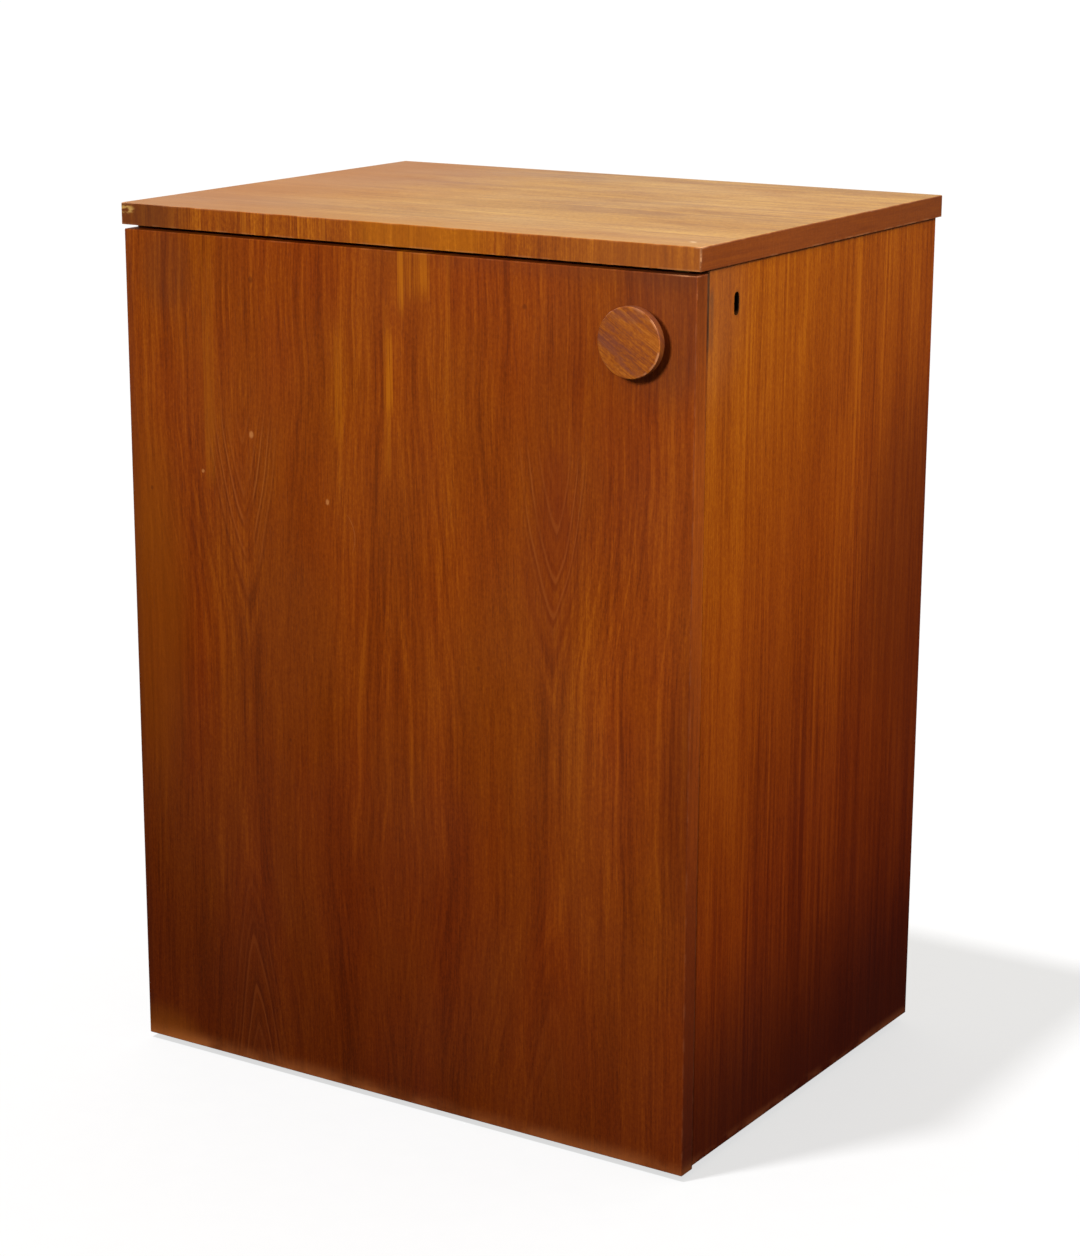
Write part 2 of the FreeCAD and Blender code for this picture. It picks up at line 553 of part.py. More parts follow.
def crate_cross_slat(x):
    """A slat from front to back, notched up to its middle where the long slats pass."""
    reach = CRATE_HOUSING - JOINERY_CLEARANCE
    x_range = about(x, CRATE_SLAT)
    slat = block(x_range, (CRATE_INNER_Y[0] - reach, CRATE_INNER_Y[1] + reach), CRATE_Z)
    notch_z = (CRATE_Z[0], CRATE_HALVING)
    return slat.cut([block(x_range, about(y, CRATE_SLAT, JOINERY_CLEARANCE), notch_z)
                     for y in LONG_SLAT_Y])


# ---------------------------------------------------------------- rack on the door
def rack_rail_levels(name):
    low = RACK_SHELF_LEVELS[name] + RACK_SHELF_THICKNESS + RACK_RAIL_OVER_SHELF[name]
    return low, low + RACK_RAIL_HEIGHT


def rack_cheek(sign):
    """An upright at one end of the rack, rounded at its upper inner corner."""
    outer = sign * RACK_HALF
    inner = sign * (RACK_HALF - RACK_BOARD)
    board = block((inner, outer), (DOOR_BACK, RACK_INNER_Y), (RACK_LOW, RACK_HIGH))
    board = soften(board, RACK_CHEEK_ROUNDING,
                   lambda box: box.ZMin > RACK_HIGH - ARRIS and box.YMin > RACK_INNER_Y - ARRIS)
    housed = sign * (RACK_HALF - RACK_BOARD + RACK_HOUSING)
    cuts = []
    for name, low in RACK_SHELF_LEVELS.items():
        shelf_z = (low, low + RACK_SHELF_THICKNESS + JOINERY_CLEARANCE)
        cuts.append(block((inner, housed), (DOOR_BACK, RACK_INNER_Y), shelf_z))
        rail_low, rail_high = rack_rail_levels(name)
        cuts.append(block((inner, outer), (RACK_INNER_Y - RACK_BOARD, RACK_INNER_Y),
                          (rail_low - JOINERY_CLEARANCE, rail_high + JOINERY_CLEARANCE)))
    return board.cut(cuts)


def rack_shelf(name):
    half = RACK_HALF - RACK_BOARD + RACK_HOUSING - JOINERY_CLEARANCE
    low = RACK_SHELF_LEVELS[name]
    board = block((-half, half), (DOOR_BACK, RACK_INNER_Y), (low, low + RACK_SHELF_THICKNESS))
    return soften(board, ARRIS, lambda box: box.YMin > RACK_INNER_Y - ARRIS and box.XLength > ARRIS)


def rack_strip(name):
    """The strip along the back of a rack shelf, which fixes it to the door."""
    half = RACK_HALF - RACK_BOARD
    low = RACK_SHELF_LEVELS[name] + RACK_SHELF_THICKNESS
    return block((-half, half), (DOOR_BACK, DOOR_BACK + RACK_STRIP_THICKNESS),
                 (low, low + RACK_STRIP_HEIGHT))


def rack_rail(name):
    rail = block((-RACK_HALF, RACK_HALF), (RACK_INNER_Y - RACK_BOARD, RACK_INNER_Y),
                 rack_rail_levels(name))
    return soften(rail, ARRIS, lambda box: box.XLength > ARRIS and box.YMin > RACK_INNER_Y - ARRIS)


# ---------------------------------------------------------------- all the pieces, by node
def all_pieces():
    pieces = {
        "top_panel": top_panel(),
        "left_side_panel": side_panel(-1),
        "right_side_panel": side_panel(1),
        "bottom_panel": bottom_panel(),
        "back_panel": back_panel(),
        "glides": Part.makeCompound(glides()),
        "shelf": shelf(),
        "door_panel": door_panel(),
        "knob": knob(),
        "knob_screw": knob_screw(),
        "lock_plate": lock_plate(),
        "lock_case": lock_case(),
        "lock_bolt": lock_bolt(),
        "lock_guide_stud": lock_guide_stud(),
        "link_plate": link_plate(),
        "catch_body": catch_body(),
        "catch_magnet": catch_magnet(),
        "catch_plate": catch_plate(),
        "crate_front": crate_long_board((SHELF_FRONT, CRATE_INNER_Y[0]), CRATE_INNER_Y[0], -1),
        "crate_back": crate_long_board((CRATE_INNER_Y[1], CRATE_BACK), CRATE_INNER_Y[1], 1),
    }
    for name, sign in (("left", -1), ("right", 1)):
        pieces[f"top_tongue_{name}"] = top_tongue(sign)
        pieces[f"shelf_bearer_{name}"] = shelf_bearer(sign)
        pieces[f"crate_{name}_end"] = crate_end(sign)
        pieces[f"door_rack_{name}_cheek"] = rack_cheek(sign)
    for name in HINGE_LEVELS:
        pieces[f"{name}_hinge_carcass_leaf"] = hinge_leaf(name, 1)
        pieces[f"{name}_hinge_door_leaf"] = hinge_leaf(name, -1)
        pieces[f"{name}_hinge_pin"] = hinge_pin(name)
    for number, y in enumerate(LONG_SLAT_Y, 1):
        pieces[f"crate_long_slat_{number}"] = crate_long_slat(y)
    for number, x in enumerate(CROSS_SLAT_X, 1):
        pieces[f"crate_cross_slat_{number}"] = crate_cross_slat(x)
    for name in RACK_SHELF_LEVELS:
        pieces[f"door_rack_{name}_shelf"] = rack_shelf(name)
        pieces[f"door_rack_{name}_strip"] = rack_strip(name)
        pieces[f"door_rack_{name}_rail"] = rack_rail(name)
    return pieces


os.makedirs("parts", exist_ok=True)
for node, shape in all_pieces().items():
    shape.exportStep(f"parts/{node}.step")
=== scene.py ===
"""A teak cellarette in a plain white studio. Lengths are in metres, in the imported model's frame.
Colours are written as screen values, from 0 to 255. In a noise call a number that multiplies a place is how
many cells of the pattern fit in a metre, and a plain number in the last place picks a slice of it."""

import math
import random

import bmesh
import bpy
from mathutils import Matrix, Vector


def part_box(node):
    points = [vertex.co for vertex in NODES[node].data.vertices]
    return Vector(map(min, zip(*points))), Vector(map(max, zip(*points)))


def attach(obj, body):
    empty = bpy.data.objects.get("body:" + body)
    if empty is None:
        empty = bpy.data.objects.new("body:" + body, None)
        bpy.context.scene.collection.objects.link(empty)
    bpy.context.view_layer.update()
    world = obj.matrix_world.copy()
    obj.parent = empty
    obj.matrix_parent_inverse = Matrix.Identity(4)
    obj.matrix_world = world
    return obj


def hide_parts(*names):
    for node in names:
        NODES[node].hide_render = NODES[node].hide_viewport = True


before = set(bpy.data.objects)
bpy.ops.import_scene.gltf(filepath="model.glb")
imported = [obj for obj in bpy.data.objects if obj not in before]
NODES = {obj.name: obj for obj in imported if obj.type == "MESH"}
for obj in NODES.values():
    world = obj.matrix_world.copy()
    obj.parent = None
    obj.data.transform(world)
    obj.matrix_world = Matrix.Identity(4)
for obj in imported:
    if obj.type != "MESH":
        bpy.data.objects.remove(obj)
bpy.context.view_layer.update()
SEED = 11
MM = 0.001


# ---------------------------------------------------------------- sizes read from the frame
def middle(node):
    low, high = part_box(node)
    return (low + high) / 2


DOOR_LOW, DOOR_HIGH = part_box("door_panel")
SIDE_LOW, SIDE_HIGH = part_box("right_side_panel")
TOP_LOW, TOP_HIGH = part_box("top_panel")
KNOB_LOW, KNOB_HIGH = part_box("knob")
KNOB_MIDDLE = middle("knob")
KNOB_RADIUS = (KNOB_HIGH.x - KNOB_LOW.x) / 2
KNOB_HEIGHT = KNOB_HIGH.y - KNOB_LOW.y
LOCK_MIDDLE = middle("lock_plate")
KEYHOLE_BACKSET = 44.5 * MM
KEYHOLE_Y = SIDE_LOW.y + KEYHOLE_BACKSET


# ---------------------------------------------------------------- material building
def screen(red, green, blue):
    """A screen colour as the linear colour that a node takes."""
    def linear(value):
        value /= 255
        return value / 12.92 if value <= 0.04045 else ((value + 0.055) / 1.055) ** 2.4
    return (linear(red), linear(green), linear(blue), 1.0)


class Wire:
    """A value in a material's node tree. Sums of wires become Math nodes."""

    def __init__(self, tree, socket):
        self.tree, self.socket = tree, socket

    def feed(self, socket, value):
        if isinstance(value, Wire):
            self.tree.links.new(value.socket, socket)
        else:
            socket.default_value = value

    def calc(self, operation, *others):
        node = self.tree.nodes.new("ShaderNodeMath")
        node.operation = operation
        for socket, value in zip(node.inputs, (self, *others)):
            self.feed(socket, value)
        return Wire(self.tree, node.outputs[0])

    def __add__(self, other):
        return self.calc("ADD", other)

    def __sub__(self, other):
        return self.calc("SUBTRACT", other)

    def __mul__(self, other):
        return self.calc("MULTIPLY", other)

    def __truediv__(self, other):
        return self.calc("DIVIDE", other)

    def __rsub__(self, other):
        return self.calc("MULTIPLY_ADD", -1.0, other)

    def __abs__(self):
        return self.calc("ABSOLUTE")

    def span(self, low, high, kind, to_low=0.0, to_high=1.0):
        node = self.tree.nodes.new("ShaderNodeMapRange")
        node.interpolation_type = kind
        for name, value in (("Value", self), ("From Min", low), ("From Max", high),
                            ("To Min", to_low), ("To Max", to_high)):
            self.feed(node.inputs[name], value)
        return Wire(self.tree, node.outputs[0])

    def step(self, low, high):
        """0 below low, 1 above high, smooth between; the other way round if low is the greater."""
        return self.span(low, high, "SMOOTHSTEP")

    def fit(self, low, high, to_low=0.0, to_high=1.0):
        """low to high becomes to_low to to_high, and no further."""
        return self.span(low, high, "LINEAR", to_low, to_high)

    def within(self, low, high, soft):
        """1 between low and high, falling to 0 over soft outside them."""
        return self.step(low - soft, low) * self.step(high + soft, high)


class Paint:
    """A material being built. x, y and z are the place on the object at rest, in metres."""

    def __init__(self, name):
        self.material = bpy.data.materials.new(name)
        self.material.use_nodes = True
        self.tree = self.material.node_tree
        self.shader = self.tree.nodes["Principled BSDF"]
        source = self.tree.nodes.new("ShaderNodeTexCoord")
        self.x, self.y, self.z = self.split(source.outputs["Object"])
        self.facing_x, self.facing_y, self.facing_z = self.split(source.outputs["Normal"])

    def split(self, socket):
        node = self.tree.nodes.new("ShaderNodeSeparateXYZ")
        self.tree.links.new(socket, node.inputs[0])
        return [Wire(self.tree, out) for out in node.outputs]

    def noise(self, x, y, z, detail=2.0, roughness=0.5):
        """Cloudy values about 0.5, read at (x, y, z)."""
        place = self.tree.nodes.new("ShaderNodeCombineXYZ")
        for socket, value in zip(place.inputs, (x, y, z)):
            self.x.feed(socket, value)
        node = self.tree.nodes.new("ShaderNodeTexNoise")
        node.inputs["Scale"].default_value = 1.0
        node.inputs["Detail"].default_value = detail
        node.inputs["Roughness"].default_value = roughness
        self.tree.links.new(place.outputs[0], node.inputs["Vector"])
        return Wire(self.tree, node.outputs[0])

    def mix(self, under, over, amount, mode="MIX"):
        node = self.tree.nodes.new("ShaderNodeMix")
        node.data_type, node.blend_type = "RGBA", mode
        for index, value in ((0, amount), (6, under), (7, over)):
            self.x.feed(node.inputs[index], value)
        return Wire(self.tree, node.outputs[2])

    def ramp(self, value, colours):
        """value from 0 to 1 as evenly spaced colours."""
        node = self.tree.nodes.new("ShaderNodeValToRGB")
        stops = node.color_ramp.elements
        for index, colour in enumerate(colours):
            place = index / (len(colours) - 1)
            if 0 < index < len(colours) - 1:
                stops.new(place)
        for stop, colour in zip(stops, colours):
            stop.color = screen(*colour)
        self.x.feed(node.inputs[0], value)
        return Wire(self.tree, node.outputs[0])

    def spot(self, across, up, middle_across, middle_up, radius, stretch=1.0):
        """1 at a place on a face, falling to 0 at radius; stretch is the spot's height over its width."""
        a = (across - middle_across) / radius
        b = (up - middle_up) / (radius * stretch)
        return (a * a + b * b).calc("SQRT").step(1.0, 0.35)

    def finish(self, colour, roughness, height=None, relief=0.0, specular=0.5, metallic=0.0):
        """Wires the shader up. relief is the depth in metres that height's 0 to 1 stands for."""
        inputs = self.shader.inputs
        self.x.feed(inputs["Base Color"], colour)
        self.x.feed(inputs["Roughness"], roughness)
        inputs["Specular IOR Level"].default_value = specular
        inputs["Metallic"].default_value = metallic
        if height is not None:
            bump = self.tree.nodes.new("ShaderNodeBump")
            bump.inputs["Distance"].default_value = relief
            self.x.feed(bump.inputs["Height"], height)
            self.tree.links.new(bump.outputs[0], inputs["Normal"])
        return self.material


# ---------------------------------------------------------------- wood
TEAK_DARK = (98, 37, 8)
TEAK_RELIEF = 0.12 * MM
WOOD_RELIEF = 0.1 * MM


def timber(paint, ring, across, along, seed, colours, dark, veins=0.3, pores=0.3, clear=0.09):
    """Wood cut along the grain. ring counts the growth layers, in metres; across and along are places on
    the board. clear is how far the pattern's tone swings. Returns its colour and a height for the bump."""
    growth = paint.noise(ring * 190, along * 1.9, seed, detail=3, roughness=0.65)
    bands = paint.noise(across * 30, along * 2.0, seed + 7.3, detail=3)
    streaks = paint.noise(across * 240, along * 7, seed + 3.1, detail=3)
    fibres = paint.noise(across * 1250, along * 32, seed + 5.7, detail=1)
    liveliness = paint.noise(across * 22, along * 3, seed + 4.4).fit(0.35, 0.65, 0.35, 1.65)
    mottle = paint.noise(across * 640, along * 330, seed + 2.6, detail=2)
    lines = (growth * 0.6 + streaks * 0.4 - 0.5) * liveliness * 0.45
    tone = lines + (bands * 0.39 + fibres * 0.29 + mottle * 0.32 - 0.5) * 0.56
    tone = tone.fit(-clear, clear)
    colour = paint.ramp(tone, colours)
    line = abs(paint.noise(ring * 200, along * 0.6, seed + 11.9, detail=1) - 0.5).step(0.06, 0.0)
    line = line * paint.noise(across * 30, along * 12, seed + 8.2).step(0.38, 0.55)
    colour = paint.mix(colour, screen(*colours[-1]), line * veins)
    pits = paint.noise(across * 1250, along * 62, seed + 9.4, detail=1).step(0.64, 0.73)
    patchy = paint.noise(across * 24, along * 7, seed + 1.2).step(0.42, 0.62)
    pits = pits * (patchy * 0.7 + 0.3)
    colour = paint.mix(colour, screen(*dark), pits * pores)
    return colour, fibres * 0.5 - pits


def ragged_arrises(paint, low, high, width):
    """1 on the arrises of a box-shaped board and 0 on its faces, broken up unevenly."""
    gaps = []
    for place, a, b in zip((paint.x, paint.y, paint.z), low, high):
        gaps.append((place - a).calc("MINIMUM", b - place))
    first, second, third = gaps
    nearest_two = first.calc("MINIMUM", second)
    second_gap = nearest_two.calc("MAXIMUM", first.calc("MAXIMUM", second).calc("MINIMUM", third))
    rag = paint.noise(paint.x * 60, paint.y * 60, paint.z * 60, detail=3)
    return second_gap.step(width, width * 0.3) * rag.step(0.44, 0.6)


def rub(paint, colour, amount, tint):
    """tint laid over colour where amount is 1."""
    return paint.mix(colour, screen(*tint), amount)


def patched(paint, colour, across, up, patches):
    """Soft patches rubbed into a face: each one's place, radius, height over width, strength and tint."""
    for at_across, at_up, radius, stretch, strength, tint in patches:
        patch = paint.spot(across, up, at_across, at_up, radius, stretch)
        colour = rub(paint, colour, patch * strength, tint)
    return colour


def unseen(paint, colour, amount):
    """The flatter, browner teak of the faces that are shut inside."""
    return rub(paint, colour, amount * 0.55, (142, 92, 48))


SHADES_TOP = 0.76       # the height that the last of the shades stands for


def painted_falloff(paint, colour, height, shades):
    """Painted shade: darker and redder as the height falls towards the floor, where less light reaches."""
    return paint.mix(colour, paint.ramp(height.fit(0.0, SHADES_TOP), shades), 1.0, "MULTIPLY")


def outer_edge(paint):
    """1 on a board's rounded upright edges at the front right and the back left."""
    return (paint.facing_x * paint.facing_y * -1.0).step(0.15, 0.4)


# Tints that the wood is multiplied by: the first three sets are painted shade from the floor up, the last a
# tone in clouds
DOOR_PAINTED_SHADE = ((166, 148, 146), (212, 199, 191), (247, 249, 243), (251, 251, 250))
LIP_PAINTED_SHADE = ((173, 137, 140), (211, 188, 195), (238, 221, 250), (245, 236, 250), (245, 244, 242),
              (177, 172, 220))
SIDE_PAINTED_SHADE = ((148, 90, 72), (208, 160, 129), (248, 223, 188), (255, 255, 224))
BLUSH_SHADES = ((250, 230, 220), (253, 244, 236), (255, 255, 240))

# The door's figure. The arches of each leaf stand about a line FIGURE_MIDDLE from the seam. They are rings
# about a pith PITH_DEPTH below the face, which comes nearer to it above ARCH_TOP and below ARCH_FOOT.
FIGURE_MIDDLE = 155 * MM
PITH_DEPTH = 46 * MM
ARCH_TOP, ARCH_FOOT = 408 * MM, 215 * MM
RIGHT_ARCH_DROP = 10 * MM
RIGHT_STRETCH = (0.84, 1.22)      # of distances in the right leaf, on the seam's side of its line and beyond
RING_POWER, RING_ROOT = 1.35, 0.74
# Growth layers that show as fine lines in it: place in the rings in metres, strength in each leaf
FIGURE_LAYERS = ((0.0101, 0.3, 0.2), (0.0158, 0.14, 0.5), (0.0196, 0.32, 0.08), (0.0249, 0.6, 0.6),
                 (0.0315, 0.5, 0.5), (0.0345, 0.2, 0.15), (0.039, 0.28, 0.05))
# Streaks of pale sapwood near the seam and in the left leaf: middle x, half width, lowest z, highest z and
# strength
SAPWOOD = (
    (-5 * MM, 3.5 * MM, 622 * MM, 662 * MM, 0.6),
    (-7 * MM, 3 * MM, 570 * MM, 690 * MM, 0.25),
    (7.5 * MM, 2.5 * MM, 704 * MM, 745 * MM, 0.8),
    (17 * MM, 9 * MM, 716 * MM, 745 * MM, 0.45),
    (31 * MM, 4 * MM, 720 * MM, 745 * MM, 0.6),
    (53 * MM, 1.5 * MM, 680 * MM, 745 * MM, 0.3),
    (-56 * MM, 4 * MM, 590 * MM, 660 * MM, 0.32),
    (-192 * MM, 5 * MM, 540 * MM, 745 * MM, 0.25),
)
SAPWOOD_TINT = (196, 112, 12)
# Small marks on the door: x, z, radius, height over width, and a tint with its strength
PALE, DARK = ((206, 132, 74), 0.75), ((86, 32, 12), 0.45)
DOOR_MARKS = (
    (-147.6 * MM, 575 * MM, 3.2 * MM, 1.3, PALE),
    (-200.6 * MM, 538 * MM, 2.2 * MM, 1.0, PALE),
    (-68.8 * MM, 526 * MM, 2.4 * MM, 1.4, PALE),
    (-145 * MM, 706 * MM, 3.2 * MM, 1.2, DARK),
    (-258 * MM, 517 * MM, 2.0 * MM, 1.3, DARK),
    (-112 * MM, 312 * MM, 1.8 * MM, 1.6, DARK),
    (82 * MM, 405 * MM, 2.0 * MM, 1.5, DARK),
    (126 * MM, 705 * MM, 3.0 * MM, 1.0, DARK),
)
# A fine curved scratch: its arc's middle left of the seam and above the floor, and its radius
SCRATCH_LEFT, SCRATCH_UP, SCRATCH_RADIUS = 69 * MM, 498 * MM, 28 * MM
# Patches, as patched() takes them
DOOR_PATCHES = (
    (-0.265, 0.40, 0.06, 3.6, 0.5, (158, 84, 8)),
    (0.282, 0.33, 0.045, 3.0, 0.35, (96, 30, 2)),
    (0.152, 0.50, 0.036, 3.6, 0.4, (120, 42, 8)),
    (0.20, 0.62, 0.09, 1.6, 0.18, (104, 34, 6)),
)
# A patch of painted floor reflection at the door's lower left corner
FOOT_PAINTED_LIGHT = ((-0.262, 0.0, 0.06, 0.75, 0.35, (150, 82, 20)),)
# Painted shade towards the side's back, and faint painted light at its top front
SIDE_PAINTED_SHADING = (
    (0.185, 0.45, 0.125, 1.9, 0.42, (92, 30, 0)),
    (-0.19, 0.72, 0.09, 1.2, 0.06, (190, 150, 110)),
)
# Painted shade in the joint between door and side: dark above the first pair of heights and below the second.
# Each pair is where the shade begins and where it is full.
JOINT_SHADE_ABOVE, JOINT_SHADE_BELOW = (0.655, 0.70), (0.42, 0.32)


def door_rings(paint, right):
    """The growth rings on the door's face, and the distance across from the middle of the leaf's figure."""
    x, z = paint.x, paint.z
    wander = paint.noise(z * 3.1, 0.0, 4.2) - 0.5
    across = abs(x) - FIGURE_MIDDLE + wander * 0.05
    across = across * (right * (across.step(-4 * MM, 4 * MM).fit(0, 1, *RIGHT_STRETCH) - 1.0) + 1.0)
    depth = PITH_DEPTH - (z - ARCH_TOP + right * RIGHT_ARCH_DROP).calc("SMOOTH_MAX", 0.0, 0.08) * 0.22
    depth = depth - (ARCH_FOOT - z).calc("SMOOTH_MAX", 0.0, 0.06) * 0.15
    wobble = (paint.noise(abs(x) * 11, z * 3.2, 8.8) - 0.5) * 0.012
    wobble = wobble + (paint.noise(x * 60, z * 16, 1.8) - 0.5) * 0.0022
    powers = abs(across).calc("POWER", RING_POWER) + depth.calc("POWER", RING_POWER)
    return powers.calc("POWER", RING_ROOT) + wobble, across


def door_layers(paint, colour, ring, across, right):
    """The fine lines of single growth layers, each with a darker one beside it."""
    x, z = paint.x, paint.z
    figure = abs(across).step(0.07, 0.03) * abs(z - 0.28).step(0.08, 0.13) * z.step(0.62, 0.55)
    figure = figure * (right * z.step(0.25, 0.2) * -0.8 + 1.0)
    broken = paint.noise(x * 45, z * 9, 14.2, detail=3).step(0.30, 0.50)
    broken = (broken + paint.spot(x, z, 0.145, 0.44, 0.05, 2.6) * 0.9).calc("MINIMUM", 1.0)
    for layer, on_left, on_right in FIGURE_LAYERS:
        strength = right * (on_right - on_left) + on_left
        line = abs(ring - layer).step(0.9 * MM, 0.3 * MM) * broken * strength
        shade = abs(ring - layer - 1.4 * MM).step(1.4 * MM, 0.3 * MM) * broken * strength
        colour = rub(paint, colour, shade * figure * 0.6, (100, 38, 6))
        colour = rub(paint, colour, line * figure, (176, 96, 36))
    return colour


def door_blemishes_and_sheen(paint, colour):
    """Patches, sapwood, small marks, and painted sheen on the door's face by its edges and top right corner.
    """
    x, z = paint.x, paint.z
    blush = paint.noise(abs(x) * 13, z * 4.5, 6.6, detail=2).fit(0.34, 0.66)
    colour = paint.mix(colour, paint.ramp(blush, BLUSH_SHADES), 1.0, "MULTIPLY")
    colour = patched(paint, colour, x, z, DOOR_PATCHES)
    for middle_x, half, low, high, strength in SAPWOOD:
        mask = x.within(middle_x - half, middle_x + half, 1.2 * MM) * z.within(low, high, 22 * MM)
        fray = paint.noise(x * 700, z * 6, 2.2).step(0.34, 0.6)
        colour = paint.mix(colour, screen(*SAPWOOD_TINT), mask * fray * strength)
    for at_x, at_z, radius, stretch, (tint, strength) in DOOR_MARKS:
        colour = rub(paint, colour, paint.spot(x, z, at_x, at_z, radius, stretch) * strength, tint)
    # Painted sheen: along the left edge, round the upper left and the top right corner, and along the top
    # edge
    painted_sheen = x.step(-0.268, -0.279) * 0.7 + paint.spot(x, z, 0.262, 0.70, 0.075, 1.1) * 1.1
    painted_sheen = painted_sheen + paint.spot(x, z, -0.235, 0.71, 0.035, 1.6) * 0.8
    painted_sheen = painted_sheen + z.step(0.722, 0.738) * x.step(-0.1, 0.2) * 0.6
    return rub(paint, colour, painted_sheen * 0.42, (100, 50, 30))


def door_wear_and_painted_light(paint, colour, on_edge):
    """The door's foot with a painted floor reflection, worn arrises with a painted highlight at the top
    right, painted shade in the joint with the side and on the rounded upright edge, and a scratch.
    """
    x, z = paint.x, paint.z
    # Painted reflection of the pale floor along the door's foot, broken up by noise
    foot = z.step(0.026, 0.003)
    floor_bounce = foot * foot * (paint.noise(x * 22, z * 40, 1.5, detail=3).step(0.3, 0.62) * 0.7 + 0.3)
    colour = rub(paint, colour, floor_bounce * (x.step(0.05, -0.2) * 0.35 + 0.55), (176, 104, 56))
    colour = patched(paint, colour, x, z, FOOT_PAINTED_LIGHT)
    # Pale worn arrises, with a painted highlight strongest at the top right corner
    pale_arris = ragged_arrises(paint, DOOR_LOW, DOOR_HIGH, 1.5 * MM)
    pale_arris = pale_arris * (z.step(0.70, 0.725) * x.step(0.25, 0.279) + 0.12)
    colour = rub(paint, colour, pale_arris * 0.8, (206, 140, 96))
    # Painted shade in the joint, on the back part of the door's edge
    joint_shade = paint.y.step(DOOR_HIGH.y - 2.5 * MM, DOOR_HIGH.y - 0.5 * MM) * on_edge
    joint_shade = joint_shade * (z.step(*JOINT_SHADE_ABOVE) + z.step(*JOINT_SHADE_BELOW) * 0.45)
    colour = rub(paint, colour, joint_shade * 0.8, (40, 16, 8))
    over, up = x + SCRATCH_LEFT, z - SCRATCH_UP
    arc = (over * over + up * up).calc("SQRT")
    scratch = abs(arc - SCRATCH_RADIUS).step(0.7 * MM, 0.1 * MM)
    scratch = scratch * (x + z).step(0.440, 0.452) * (z - x).step(0.57, 0.56)
    colour = rub(paint, colour, scratch * 0.25, (190, 120, 66))
    # Painted shade that tones down the light on the rounded upright edge, below the top
    arris_shade = outer_edge(paint) * z.step(0.715, 0.69)
    return rub(paint, colour, arris_shade * 0.5, (84, 32, 8))


def door_teak():
    """Two book-matched leaves, meeting at x = 0, each with a tall cathedral figure. Lippings on the edges."""
    paint = Paint("teak_door")
    x, z = paint.x, paint.z
    right = x.step(-1 * MM, 1 * MM)
    ring, across = door_rings(paint, right)
    face_colours = ((118, 50, 4), (138, 61, 5), (152, 72, 7), (170, 88, 11))
    colour, height = timber(paint, ring, abs(x), z, 0.0, face_colours, TEAK_DARK, veins=0.12, clear=0.1)
    colour = door_layers(paint, colour, ring, across, right)
    colour = door_blemishes_and_sheen(paint, colour)
    lip_colours = ((137, 61, 5), (157, 73, 7), (176, 87, 10))
    lip, _ = timber(paint, paint.y + x * 0.8, paint.y + x, z, 5.0, lip_colours, TEAK_DARK)
    # Painted light and shade up the door's edge
    lip = paint.mix(lip, paint.ramp(z.fit(0.0, 0.75), LIP_PAINTED_SHADE), 1.0, "MULTIPLY")
    on_edge = abs(paint.facing_x).step(0.5, 0.8)
    colour = paint.mix(colour, lip, on_edge)
    inside = paint.facing_y.step(0.5, 0.8)
    colour = unseen(paint, colour, inside)
    # Painted shade on the outer face: darker towards the floor and towards the left
    colour = paint.mix(colour, painted_falloff(paint, colour, z + x * 0.4, DOOR_PAINTED_SHADE), 1.0 - inside * 0.8)
    colour = door_wear_and_painted_light(paint, colour, on_edge)
    rough = paint.noise(x * 9, paint.y * 9, z * 6, detail=3).fit(0.3, 0.7, 0.40, 0.54)
    return paint.finish(colour, rough, height, TEAK_RELIEF, specular=0.2)


